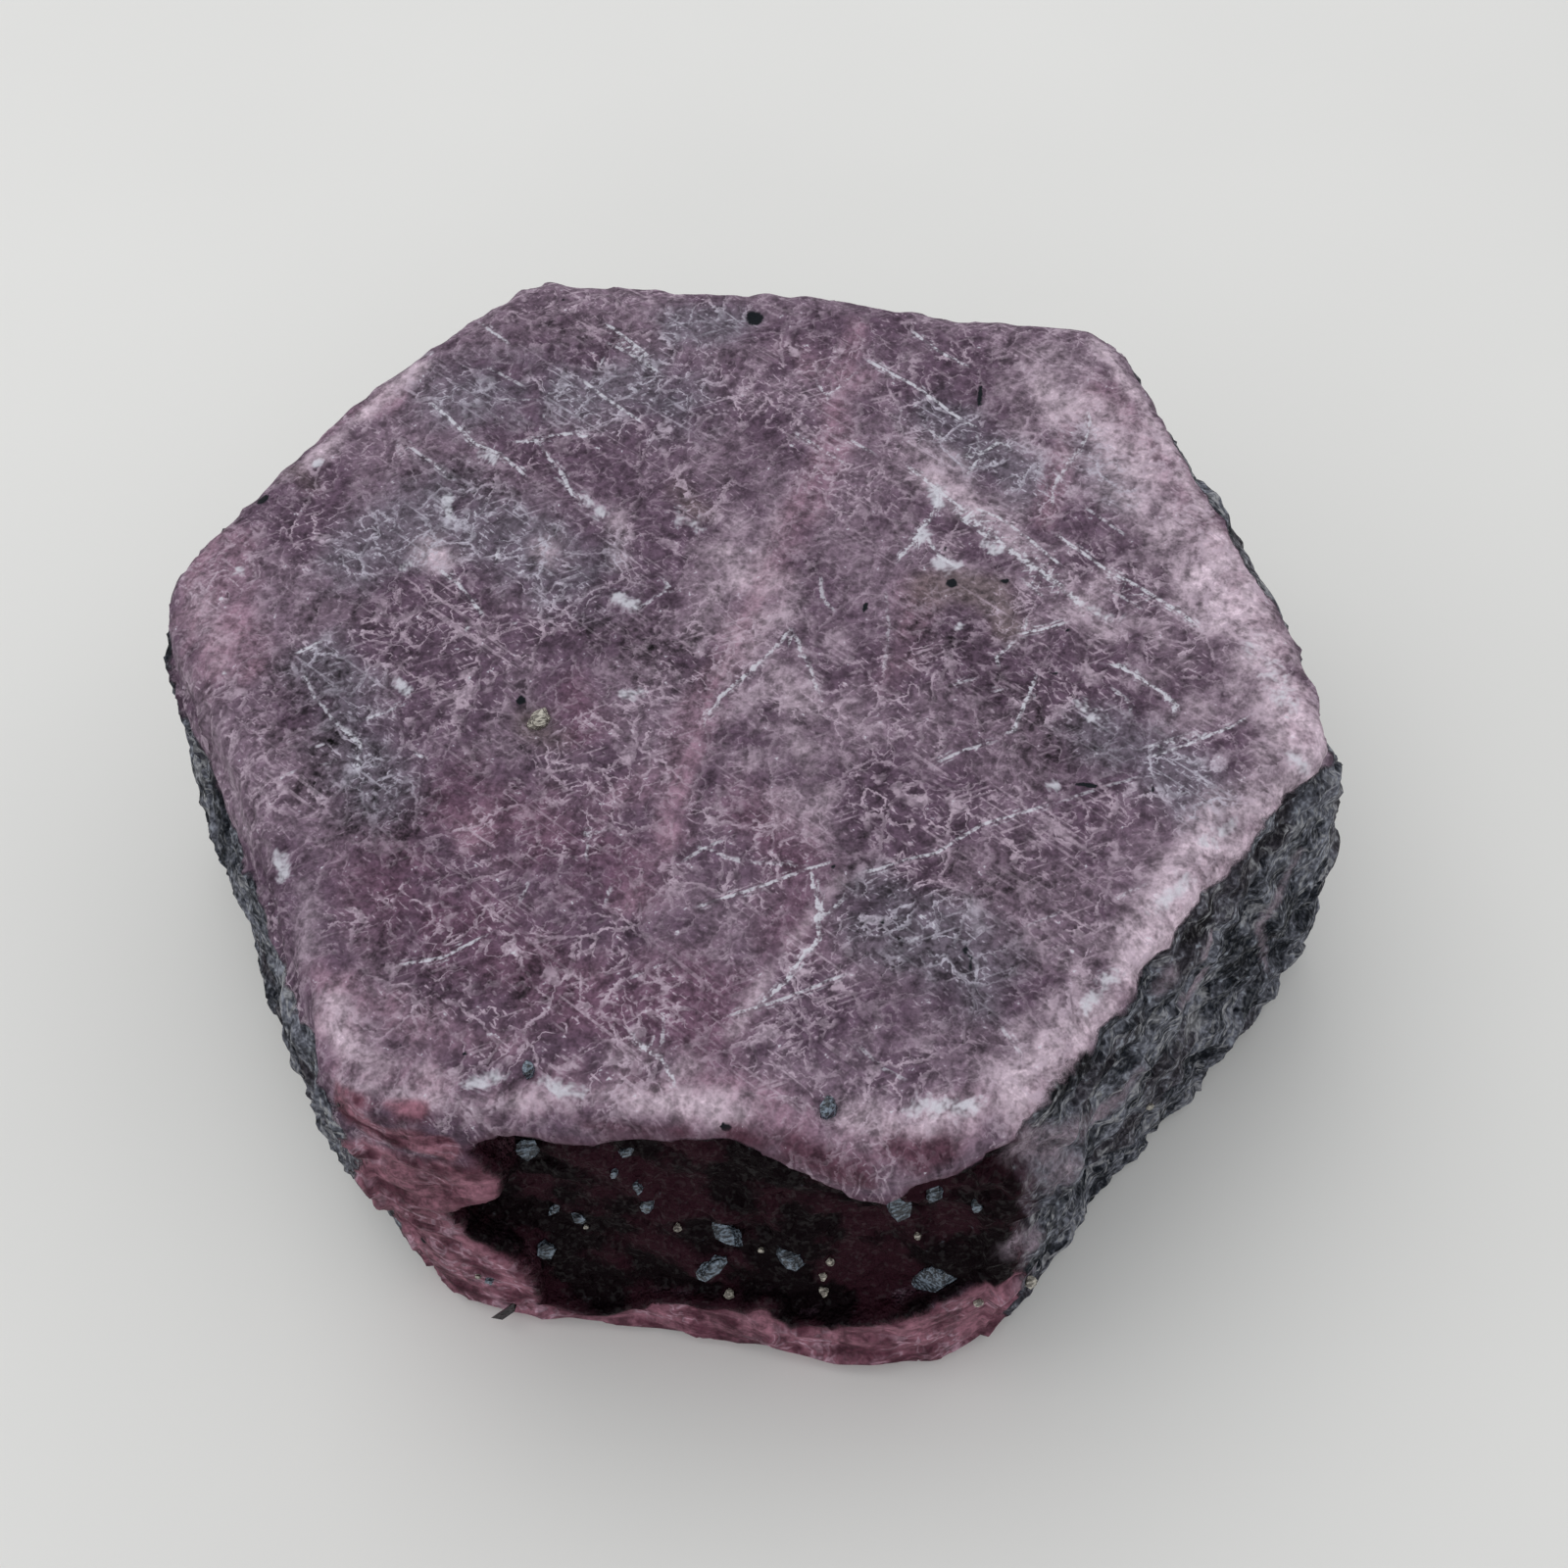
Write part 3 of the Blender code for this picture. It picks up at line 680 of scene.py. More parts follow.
# Zones and spots: radius in mm, strength, and the pixels that the soft brush runs through
zones = {
    "pink": [
        (3.0, 1.0, [(228, 560), (212, 620), (235, 690)]),
        (1.8, 0.9, [(300, 470), (345, 430), (400, 400)]),
        (2.2, 0.9, [(1130, 400), (1200, 480), (1260, 580), (1310, 680), (1340, 760)]),
        (1.2, 0.9, [(1115, 400), (1090, 450), (1075, 500), (1062, 540)]),
        (2.0, 0.8, [(340, 1090), (480, 1120), (640, 1110), (780, 1130), (900, 1170), (1000, 1130)]),
        (2.4, 0.7, [(330, 1000), (420, 1050), (540, 1080)]),
        (2.0, 0.9, [(335, 1040), (375, 1095), (450, 1108)]),
        (1.6, 1.0, [(850, 455), (815, 530), (780, 600), (745, 670), (709, 740), (690, 800), (685, 864)]),
        (1.4, 0.8, [(875, 335), (852, 400), (850, 455)]), (2.6, 0.6, [(820, 360), (885, 400)]),
        (1.8, 0.7, [(940, 600), (930, 660), (900, 700)]),
        (2.8, 0.6, [(480, 850), (560, 830), (640, 810), (690, 800)]),
        (1.6, 0.5, [(690, 850), (640, 930), (600, 1000)]),
        (1.6, 1.0, [(1340, 800), (1250, 880), (1190, 960), (1110, 1050), (1030, 1140)]),
    ],
    "wineTint": [
        (5.0, 0.9, [(400, 900), (500, 970), (600, 1020), (740, 1040)]),
        (4.0, 0.9, [(470, 820), (560, 860), (650, 900)]),
        (3.0, 0.7, [(760, 820), (820, 900), (800, 980)]), (2.2, 0.8, [(580, 700), (600, 760)]),
    ],
    "film": [
        (4.5, 1.0, [(380, 560), (450, 520), (540, 560), (620, 600)]),
        (4.5, 0.9, [(480, 400), (560, 400), (650, 400), (720, 420)]),
        (2.6, 1.0, [(700, 330), (760, 330)]), (3.0, 1.0, [(960, 420), (1010, 470), (1060, 500)]),
        (2.0, 0.8, [(1100, 450), (1150, 520)]), (3.4, 0.9, [(340, 680), (370, 760), (400, 830)]),
        (3.5, 1.0, [(900, 930), (960, 960), (1010, 1010)]),
        (3.5, 0.9, [(1130, 750), (1200, 790), (1240, 820)]),
    ],
    "dim": [
        (3.6, 1.0, [(310, 700), (350, 780), (410, 860)]),
        (3.0, 0.9, [(600, 640), (660, 660), (720, 690)]),
        (3.6, 0.9, [(960, 650), (1010, 690), (1060, 740), (1100, 790)]),
        (3.6, 0.7, [(880, 920), (940, 980), (1000, 1040), (1060, 960)]),
        (4.0, 0.7, [(400, 960), (480, 1020), (580, 980)]), (2.4, 0.7, [(430, 480), (520, 500)]),
        (2.6, 0.6, [(560, 330), (650, 350)]), (1.5, 0.9, [(901, 790), (905, 828)]),
        (0.9, 0.9, [(905, 800), (870, 880), (860, 930)]),
        (5.5, 0.5, [(380, 620), (480, 700), (560, 790)]),
        (4.0, 0.6, [(900, 900), (1000, 900), (1080, 900)]),
    ],
    "warm": [
        (1.8, 1.0, [(950, 600), (1010, 600), (1030, 650)]), (1.4, 0.8, [(690, 500), (720, 530)]),
        (1.4, 0.8, [(540, 740), (570, 760)]), (2.0, 0.6, [(300, 480), (330, 500)]),
    ],
    "pale": [
        (3.6, 1.0, [(1240, 590), (1300, 680), (1335, 760), (1300, 790)]),
        (2.7, 1.0, [(1330, 780), (1260, 850), (1190, 940), (1110, 1040), (1030, 1120)]),
        (5.0, 0.6, [(1060, 400), (1140, 450), (1200, 540), (1220, 620)]),
        (5.0, 0.42, [(760, 560), (800, 700), (840, 820)]),
        (4.0, 0.45, [(1100, 620), (1180, 690), (1240, 730)]), (2.2, 0.5, [(1265, 700), (1285, 770)]),
        (1.6, 0.75, [(335, 1030), (352, 1062), (378, 1090), (400, 1098)]),
        (1.1, 0.5, [(430, 1092), (470, 1106)]), (1.5, 0.9, [(1275, 650), (1320, 730)]),
        (1.0, 0.8, [(1120, 350), (1170, 420), (1220, 510), (1280, 600)]),
        (3.0, 0.4, [(940, 460), (1050, 540), (1150, 620), (1220, 690)]),
        (1.3, 0.65, [(350, 1105), (480, 1125), (620, 1115), (760, 1135)]),
        (1.6, 0.6, [(850, 1140), (920, 1150), (1000, 1130)]), (1.6, 0.5, [(620, 1080), (700, 1090)]),
        (1.6, 0.35, [(200, 600), (225, 690)]), (1.2, 0.8, [(320, 470), (380, 410), (430, 370)]),
        (1.6, 0.6, [(440, 560), (460, 580)]), (1.6, 0.6, [(560, 560), (580, 580)]),
        (1.6, 0.5, [(630, 530), (640, 600)]), (2.0, 0.7, [(950, 490), (1000, 520), (1040, 560)]),
        (0.8, 0.4, [(748, 1055), (800, 970), (860, 896)]),
    ],
    # painted shade on the skin close under the rim
    "shade": [
        (1.3, 0.9, [(1110, 1075), (1085, 1110), (1062, 1140)]),
        (1.0, 0.7, [(1155, 1020), (1130, 1050)]), (0.9, 0.8, [(1212, 958), (1240, 925)]),
        (0.9, 0.6, [(1285, 865), (1310, 838)]), (1.2, 0.6, [(1260, 970), (1275, 1000)]),
    ],
    # painted shade on the front of the lip
    "paintedLipShade": [
        (1.5, 1.0, [(812, 1178), (850, 1194), (885, 1202)]),
        (1.2, 0.9, [(915, 1172), (945, 1182), (970, 1172)]), (0.9, 0.7, [(750, 1156), (790, 1166)]),
        (0.7, 0.6, [(600, 1148), (700, 1154)]), (1.0, 0.8, [(383, 1143), (443, 1143)]),
    ],
    # rose stone of the front, where it climbs onto the rim
    "rosy": [
        (1.4, 0.75, [(345, 1112), (385, 1128), (440, 1136)]),
        (1.6, 1.0, [(350, 1132), (375, 1150), (405, 1160), (465, 1168)]),
    ],
    # on the dark skin and the bare front
    "ashen": [
        (1.9, 1.0, [(1050, 1170), (1075, 1195), (1100, 1190)]),
        (1.1, 1.0, [(1075, 1160), (1110, 1155)]), (1.5, 0.7, [(308, 905), (314, 934), (318, 975)]),
        (1.2, 0.35, [(198, 700), (212, 735), (224, 765)]),
        (0.4, 0.8, [(233, 781), (242, 816), (252, 844), (257, 871)]),
        (0.8, 0.8, [(1086, 1156), (1122, 1135), (1151, 1115)]),
        (1.1, 0.7, [(1033, 1270), (1065, 1266)]), (0.9, 0.7, [(1040, 1310), (1060, 1290)]),
        (0.8, 0.6, [(1130, 1130), (1165, 1090)]), (0.5, 0.9, [(1229, 989), (1204, 1029)]),
        (0.5, 0.9, [(1306, 915), (1286, 944), (1292, 989)]), (0.4, 0.8, [(1237, 956), (1229, 980)]),
        (0.4, 0.8, [(1325, 870), (1300, 920)]), (0.7, 0.6, [(1180, 1010), (1200, 990)]),
    ],
    "wineSpots": [
        (1.3, 0.5, [(540, 1345), (700, 1362), (860, 1378), (960, 1375)]),
        (1.1, 0.8, [(395, 1210), (410, 1222)]), (0.8, 0.9, [(428, 1149), (455, 1153)]),
        (0.8, 0.8, [(400, 1164), (415, 1168)]), (0.9, 0.8, [(425, 1246), (450, 1258)]),
        (1.2, 1.0, [(459, 1271), (480, 1285), (505, 1302)]),
        (1.0, 0.8, [(459, 1222), (475, 1226), (492, 1232)]), (0.9, 0.7, [(867, 1190), (880, 1195)]),
        (0.7, 0.7, [(472, 1314), (500, 1325)]), (0.8, 0.7, [(620, 1150), (680, 1150)]),
        (0.7, 0.7, [(743, 1345), (745, 1360)]), (0.8, 0.6, [(860, 1375), (920, 1385)]),
    ],
    "bright": [
        (0.8, 1.0, [(942, 547)]), (0.8, 0.8, [(956, 500), (957, 516)]),
        (0.9, 0.8, [(958, 575), (978, 580)]), (0.7, 0.9, [(1008, 555), (1020, 565)]),
        (0.6, 0.8, [(404, 696), (420, 708)]), (0.7, 0.7, [(412, 576)]),
        (0.9, 0.7, [(630, 610), (652, 620)]), (0.8, 0.6, [(690, 520), (714, 542)]),
        (0.8, 0.6, [(596, 508), (620, 528)]), (0.6, 0.8, [(456, 508), (460, 532)]),
        (0.7, 0.8, [(494, 464), (508, 470)]), (0.6, 1.0, [(325, 472)]),
        (0.8, 0.6, [(415, 368), (440, 360)]), (0.6, 0.9, [(1075, 802)]), (0.45, 0.9, [(980, 640)]),
        (0.9, 0.8, [(284, 876), (290, 898)]), (0.9, 0.6, [(1104, 720), (1120, 740)]),
        (0.9, 0.6, [(1115, 624), (1150, 636)]), (0.6, 0.8, [(636, 708), (656, 708)]),
        (0.3, 1.0, [(476, 642)]), (0.3, 1.0, [(524, 636)]), (0.3, 1.0, [(228, 686)]),
        (0.4, 0.9, [(244, 582)]), (0.8, 0.7, [(480, 1105), (512, 1100)]),
        (0.8, 0.7, [(555, 1105), (600, 1118)]), (1.0, 0.7, [(935, 1130), (1000, 1128)]),
        (0.9, 0.7, [(1180, 925), (1215, 895)]), (0.8, 0.7, [(1110, 1030), (1140, 990)]),
        (0.9, 0.6, [(1230, 860), (1260, 840)]), (0.9, 0.6, [(1320, 770), (1335, 790)]),
        (1.4, 0.55, [(1285, 660), (1318, 730)]), (1.0, 0.2, [(1190, 560), (1240, 620)]),
    ],
    "darkSpots": [
        (1.0, 1.0, [(770, 325)]), (0.7, 1.0, [(268, 510)]), (0.45, 1.0, [(1025, 593)]),
        (0.6, 1.0, [(971, 595)]), (0.35, 1.0, [(963, 560)]), (0.35, 0.9, [(1004, 604)]),
        (0.35, 1.0, [(1075, 688)]), (0.3, 1.0, [(1091, 643)]), (0.3, 1.0, [(1028, 765)]),
        (0.35, 0.9, [(883, 618), (883, 626)]), (0.7, 0.6, [(835, 550)]), (0.5, 0.8, [(900, 940)]),
        (0.35, 1.0, [(1175, 805)]), (0.3, 0.9, [(1100, 799), (1119, 803)]), (0.5, 1.0, [(532, 715)]),
        (0.5, 0.9, [(740, 1150)]), (0.7, 0.8, [(847, 1135)]), (0.4, 0.8, [(576, 306)]),
        (0.4, 0.8, [(476, 584)]), (0.35, 0.8, [(604, 508)]), (0.35, 0.8, [(564, 868)]),
        (0.7, 0.62, [(985, 965), (993, 995)]), (0.4, 0.8, [(850, 885)]), (0.35, 0.8, [(356, 492)]),
        (0.35, 0.9, [(1000, 396), (1000, 416)]), (0.35, 0.8, [(410, 1065)]), (0.35, 0.8, [(475, 1075)]),
        (0.45, 0.9, [(432, 1266)]),
    ],
}


# The edges of the zones: how ragged they are, and the ones that stay as the brush leaves them
zoneEdges = {
    "usual": 0.5,
    "shade": 0.6,
    "wineSpots": 0.6,
    "plain": ("bright", "darkSpots"),
}


def readField(name):
    values = [0.0] * len(stone.data.vertices)
    stone.data.attributes[name].data.foreach_get("value", values)
    return values


def ragged(values, amount):
    # a painted zone with its edge broken up by the stone's own mottling
    rough = zip(values, readField("mottle"), readField("blot"))
    return [smoothStep(0.1, 0.9, v + amount * (0.7 * a + 0.5 * b) * (0.3 + v)) for v, a, b in rough]


def paintZone(name, strokes):
    values = [0.0] * len(stone.data.vertices)
    for radius, strength, pixels in strokes:
        path = pathOn(pixels, radius / 3) if len(pixels) > 1 else [(touch(*pixels[0])[0], None)]
        for place, along in path:
            for near, index, away in finder.find_range(place, radius):
                values[index] = max(values[index], strength * (1 - away / radius))
    if name not in zoneEdges["plain"]:
        values = ragged(values, zoneEdges.get(name, zoneEdges["usual"]))
    addField(stone.data, name, values)


for zone, zoneStrokes in zones.items():
    paintZone(zone, zoneStrokes)
print("zones painted")


class Wire:
    # one output of a material's node; the operators add Math nodes after it
    def __init__(self, recipe, socket):
        self.recipe = recipe
        self.socket = socket

    def __add__(self, other):
        return self.recipe.maths("ADD", self, other)

    __radd__ = __add__

    def __sub__(self, other):
        return self.recipe.maths("SUBTRACT", self, other)

    def __rsub__(self, other):
        return self.recipe.maths("SUBTRACT", other, self)

    def __mul__(self, other):
        return self.recipe.maths("MULTIPLY", self, other)

    __rmul__ = __mul__

    def __abs__(self):
        return self.recipe.maths("ABSOLUTE", self)


class Recipe:
    # one material and its nodes
    def __init__(self, name):
        self.material = bpy.data.materials.new(name)
        self.material.use_nodes = True
        self.nodes = self.material.node_tree.nodes
        self.links = self.material.node_tree.links
        self.shader = self.nodes["Principled BSDF"]

    def pick(self, sockets, key):
        if isinstance(key, int):
            return sockets[key]
        return next(s for s in sockets if key in (s.identifier, s.name))

    def feed(self, node, key, value):
        socket = self.pick(node.inputs, key)
        if isinstance(value, Wire):
            self.links.new(value.socket, socket)
        elif socket.type == "RGBA" and len(value) == 3:
            socket.default_value = (*value, 1.0)
        else:
            socket.default_value = value

    def node(self, kind, settings=None, values=None, out=0):
        added = self.nodes.new(kind)
        for name, value in (settings or {}).items():
            setattr(added, name, value)
        for key, value in (values or {}).items():
            self.feed(added, key, value)
        return Wire(self, self.pick(added.outputs, out))

    def maths(self, operation, *values):
        return self.node("ShaderNodeMath", {"operation": operation}, dict(enumerate(values)))

    def smooth(self, low, high, value):
        settings = {"interpolation_type": "SMOOTHSTEP"}
        values = {"Value": value, "From Min": low, "From Max": high}
        return self.node("ShaderNodeMapRange", settings, values)

    def field(self, name):
        return self.node("ShaderNodeAttribute", {"attribute_name": name}, out="Fac")

    def vector(self, operation, *values):
        return self.node("ShaderNodeVectorMath", {"operation": operation}, dict(enumerate(values)))

    def scaled(self, vector, factor):
        return self.node("ShaderNodeVectorMath", {"operation": "SCALE"}, {0: vector, "Scale": factor})

    def noise(self, place, size, detail=2.0, rough=0.5, flat=False):
        settings = {"noise_dimensions": "2D" if flat else "3D"}
        values = {"Vector": place, "Scale": 1 / size, "Detail": detail, "Roughness": rough}
        return self.node("ShaderNodeTexNoise", settings, values, "Fac")

    def cellEdges(self, place, size):
        # distance from the nearest edge between two cells
        settings = {"feature": "DISTANCE_TO_EDGE", "voronoi_dimensions": "2D"}
        values = {"Vector": place, "Scale": 1 / size}
        return self.node("ShaderNodeTexVoronoi", settings, values, "Distance")

    def hair(self, value, width):
        # 1 on a thin line where the value is near zero
        return 1 - self.smooth(width * 0.3, width, abs(value))

    def larger(self, first, second):
        return self.maths("MAXIMUM", first, second)

    def blend(self, factor, first, second):
        values = {"Factor_Float": factor, "A_Color": first, "B_Color": second}
        return self.node("ShaderNodeMix", {"data_type": "RGBA"}, values, "Result_Color")

    def rotated(self, place, kind, values):
        return self.node("ShaderNodeVectorRotate", {"rotation_type": kind}, {"Vector": place, **values})

    def stretched(self, place, along, lengthways, acrossways):
        # texture space drawn out along one direction, given in degrees in the top's plane
        turned = self.rotated(place, "Z_AXIS", {"Angle": math.radians(-along)})
        return self.vector("MULTIPLY", turned, (1 / lengthways, 1 / acrossways, 1 / acrossways))


# Colours of the stone, as it looks in soft daylight
stoneColours = {
    "plum": (0.120, 0.076, 0.112),
    "mauve": (0.190, 0.132, 0.176),
    "pink": (0.300, 0.180, 0.240),
    "wineTint": (0.150, 0.075, 0.118),
    "pinkVein": (0.470, 0.370, 0.440),
    "pale": (0.660, 0.530, 0.605),
    "film": (0.138, 0.128, 0.158),
    "warm": (0.190, 0.150, 0.135),
    # painted shade for the front of the lip
    "paintedLipShade": (0.105, 0.046, 0.068),
    "lilac": (0.480, 0.450, 0.520),
    # also the colour of the painted glints
    "scratch": (0.640, 0.635, 0.690),
    "pit": (0.010, 0.012, 0.015),
    "wine": (0.075, 0.024, 0.038),
    "rose": (0.272, 0.124, 0.163),
    "roseWisp": (0.440, 0.290, 0.360),
    "slate": (0.014, 0.017, 0.024),
    "slateGrey": (0.145, 0.150, 0.180),
    "slateWine": (0.068, 0.054, 0.066),
    "slateFleck": (0.330, 0.370, 0.430),
    "slateRidge": (0.310, 0.310, 0.325),
    "ashen": (0.330, 0.260, 0.310),
    "recessDark": (0.0040, 0.0011, 0.0022),
    "maroon": (0.025, 0.0065, 0.0115),
    "recessGrey": (0.080, 0.095, 0.130),
}

# Sizes of the stone's fine marks in mm, and its finish
stoneFinish = {
    "stray": 0.5,  # how far the fine texture strays from its place
    "wideStray": 1.2,
    "grain": 0.42,
    "felt": 0.7,
    "clumps": 1.7,
    "crinkles": (1.9, 0.03),  # size, and how wide the hair is
    "curls": (1.0, 0.048),
    "cracks": (3.2, 0.036),
    # direction in degrees, length, width, and the noise that they begin at
    "downDash": (-34, 0.6, 0.15, 0.66),
    "upDash": (41, 0.5, 0.15, 0.66),
    "downRake": (-31, 7.0, 0.22, 0.64),
    "upRake": (29, 6.0, 0.22, 0.64),
    "knots": 0.9,
    "crumbs": 0.3,
    "roughness": 0.6,
    "coat": 0.5,
    "coatRoughness": 0.3,
    "specular": 0.05,
}


def stoneMaterial():
    m = Recipe("roughRuby")
    colour = stoneColours
    f = stoneFinish
    metres = m.node("ShaderNodeTexCoord", out="Object")
    place = m.vector("ADD", m.scaled(metres, 1 / mm), noiseShift)
    wander = m.node("ShaderNodeAttribute", {"attribute_name": "wander"}, out="Vector")
    wandering = m.vector("ADD", place, m.scaled(wander, f["wideStray"]))
    bent = m.vector("ADD", place, m.scaled(wander, f["stray"]))
    mottle, blot, broken, patchy = (m.field(name) for name in ("mottle", "blot", "broken", "patchy"))
    film, pink, dim, warm, pale = (m.field(name) for name in ("film", "pink", "dim", "warm", "pale"))
    ashen, wineSpots, paintedLipShade = (m.field(name) for name in ("ashen", "wineSpots", "paintedLipShade"))
    grain = m.noise(place, f["grain"], 2.0, 0.8)
    felt = m.noise(bent, f["felt"], 2.0, 0.8, flat=True)
    clumps = m.noise(bent, f["clumps"], 3.0, 0.75, flat=True)
    shaken = m.vector("ADD", bent, m.scaled((0.6, -0.35, 0.0), grain - 0.5))
    shaken = m.vector("ADD", shaken, m.scaled((0.3, 0.5, 0.0), felt - 0.5))

    # ruby ground
    bands = m.noise(m.stretched(place, 79, 9.0, 0.9), 1.0, 2.0, 0.6, flat=True)
    ruby = m.blend(m.smooth(-0.35, 0.35, mottle + blot * 0.3), colour["plum"], colour["mauve"])
    ruby = m.blend(m.field("wineTint") * 0.8, ruby, colour["wineTint"])
    ruby = m.blend(film * 0.55, ruby, colour["film"])
    ruby = m.blend(pink * (0.5 + m.smooth(0.4, 0.6, bands) * 0.35), ruby, colour["pink"])
    ruby = m.blend(warm * 0.5, ruby, colour["warm"])
    ruby = m.blend(pale * (0.52 + m.smooth(0.35, 0.6, clumps) * 0.38), ruby, colour["pale"])
    # painted shade on the front of the lip
    ruby = m.blend(paintedLipShade * 0.95, ruby, colour["paintedLipShade"])
    speckle = 0.38 + m.smooth(0.34, 0.68, grain) * 0.5 + m.smooth(0.36, 0.64, felt) * 0.27
    speckle = speckle + m.smooth(0.36, 0.64, clumps) * 0.2 + (bands - 0.5) * 0.5 - dim * 0.3
    ruby = m.scaled(ruby, speckle)

    # crinkled pale veinlets in short lengths, and straight dashes and rakes that lie two ways
    density = m.smooth(-0.35, 0.45, patchy + film * 0.4 + pale * 0.4 - dim * 0.4)
    def winding(size, width):
        return m.hair(m.noise(shaken, size, 1.0, flat=True) - 0.5, width)

    def straight(along, length, width, start):
        drawnOut = m.stretched(place, along, length, width)
        return m.smooth(start, 0.80, m.noise(drawnOut, 1.0, 0.0, flat=True))

    crackSize, crackWidth = f["cracks"]
    crinkles = winding(*f["crinkles"]) * m.smooth(-0.4, 0.15, broken)
    curls = winding(*f["curls"]) * m.smooth(0.46, 0.62, clumps)
    cracks = m.hair(m.cellEdges(shaken, crackSize), crackWidth) * m.smooth(-0.4, 0.15, broken)
    dashes = m.larger(straight(*f["downDash"]), straight(*f["upDash"]) * m.smooth(-0.3, 0.2, blot))
    dashes = dashes * m.smooth(0.45, 0.60, felt)
    rakes = straight(*f["downRake"]) * m.smooth(-0.2, 0.3, blot)
    rakes = m.larger(rakes, straight(*f["upRake"]) * m.smooth(-0.1, 0.3, broken))
    network = m.larger(m.larger(crinkles, curls * 0.8), m.larger(cracks, dashes))
    # the pale veinlets fade in the painted lip shade
    network = m.larger(network * 0.95, rakes * 0.75) * (1 - paintedLipShade * 0.7)
    network = network * (0.4 + density * 0.6) * (0.45 + m.smooth(0.38, 0.62, grain) * 0.55)

    # drawn lines: a main hair and fainter ones beside it
    jitter = blot * 0.12 + (grain - 0.5) * 0.3 + (felt - 0.5) * 0.25
    drawn = 0.0
    for kind, (width, wobble) in marks["kinds"].items():
        offset = m.field(kind + "Offset") + jitter * wobble
        line = m.hair(offset - 0.22, width * 0.7) * m.smooth(-0.1, 0.3, broken) * 0.7
        line = m.hair(offset, width) + line
        line = line + m.hair(offset + 0.2, width * 0.6) * m.smooth(-0.1, 0.3, blot) * 0.7
        drawn = line * m.field(kind + "Strength") * (0.25 + m.smooth(0.38, 0.62, grain) * 0.85) + drawn
    drawn = m.smooth(0.05, 1.0, drawn)
    bright = m.smooth(0.3, 0.8, m.field("bright") + (felt - 0.5) * 1.2)
    # painted glints: sparse white specks where grain and felt peak
    glints = m.smooth(0.62, 0.72, grain) * m.smooth(0.54, 0.68, felt)

    ruby = m.blend(network, ruby, m.blend(film, colour["pinkVein"], colour["lilac"]))
    ruby = m.blend(drawn * 0.8, ruby, colour["scratch"])
    ruby = m.blend(bright * 0.75, ruby, colour["scratch"])
    # painted glints in the base colour
    ruby = m.blend(glints * 0.7, ruby, colour["scratch"])

    # bare front: rose stone with wine-dark streaks and paler wisps
    streaks = m.noise(m.vector("MULTIPLY", wandering, (0.35, 0.35, 0.7)), 1.0, 3.0, 0.65)
    shade = m.smooth(0.30, 0.60, streaks + blot * 0.10) * (1 - wineSpots * 1.1)
    bare = m.blend(shade, colour["wine"], colour["rose"])
    wisps = m.hair(m.noise(wandering, 1.6, 2.0, 0.6) - 0.5, 0.05) * m.smooth(-0.2, 0.3, patchy) * shade
    bare = m.blend(wisps * 0.75, bare, colour["roseWisp"])
    bare = m.scaled(bare, 0.5 + m.smooth(0.36, 0.66, grain) * 0.5 + m.smooth(0.38, 0.62, clumps) * 0.45)
    bareFront = m.smooth(0.35, 0.9, m.field("bareFront") + m.field("rosy"))
    ruby = m.blend(bareFront, ruby, bare)
    pits = m.smooth(0.42, 0.6, m.field("darkSpots") + (grain - 0.5) * 0.5)
    ruby = m.blend(pits, ruby, colour["pit"])

    # dark skin
    crest = m.field("crest")
    knots = m.noise(bent, f["knots"], 3.0, 0.7)
    crumbs = m.noise(place, f["crumbs"], 1.0, 0.6)
    greyness = m.smooth(0.39, 0.67, knots + crest * 0.07 + patchy * 0.13)
    slate = m.blend(greyness, colour["slate"], colour["slateGrey"])
    slate = m.blend(m.smooth(0.1, 0.5, mottle - patchy * 0.4) * 0.45, slate, colour["slateWine"])
    slate = m.scaled(slate, (0.5 + m.smooth(0.34, 0.66, crumbs) * 0.85) * (1.0 + patchy * 0.25))
    # painted shade on the skin close under the rim
    slate = m.scaled(slate, 1 - m.field("shade") * 0.75)
    flecks = m.smooth(0.60, 0.72, crumbs) * m.smooth(0.48, 0.62, knots)
    slate = m.blend(flecks * 0.6, slate, colour["slateFleck"])
    # pale ridges that climb from the front corner to the right corner
    tip = {"Axis": (0.865, -0.5, 0.0), "Angle": math.radians(-20)}
    tipped = m.rotated(wandering, "AXIS_ANGLE", tip)
    ridges = m.noise(m.vector("MULTIPLY", tipped, (0.30, 0.30, 0.95)), 1.0, 2.0, 0.6)
    ridges = m.hair(ridges - 0.5, 0.042) * m.smooth(-0.25, 0.25, patchy + blot * 0.6)
    slate = m.blend(ridges * (0.4 + m.smooth(0.4, 0.6, crumbs) * 0.55), slate, colour["slateRidge"])
    skinMask = m.smooth(-0.15, 0.15, m.field("skinDepth") + blot * 0.5 + (grain - 0.5) * 0.6)
    whole = m.blend(skinMask, ruby, slate)

    # recess
    wine = m.blend(m.smooth(-0.2, 0.3, patchy + (knots - 0.5)), colour["recessDark"], colour["maroon"])
    ash = m.smooth(0.60, 0.75, knots) * m.smooth(0.64, 0.72, crumbs)
    wine = m.blend(ash * 0.7, wine, colour["recessGrey"])
    recessEdge = m.field("recessDepth") + blot * 0.15 + (grain - 0.5) * 0.3
    recessMask = m.smooth(-0.25, 0.0, recessEdge)
    whole = m.blend(m.smooth(-0.8, -0.2, recessEdge) * 0.45, whole, colour["wine"])
    whole = m.blend(recessMask, whole, wine)
    ashenStone = m.scaled(colour["ashen"], speckle)
    whole = m.blend(ashen * (0.55 + m.smooth(0.38, 0.62, knots) * 0.4), whole, ashenStone)

    dark = m.larger(skinMask, recessMask)
    gloss = m.smooth(0.52, 0.66, crumbs) * (dark - recessMask * 0.6)
    height = grain * 0.10 * (1 - dark) + (knots * 0.65 + crumbs * 0.2) * dark
    bump = m.node("ShaderNodeBump", {}, {"Height": height, "Distance": mm, "Strength": 1.0})

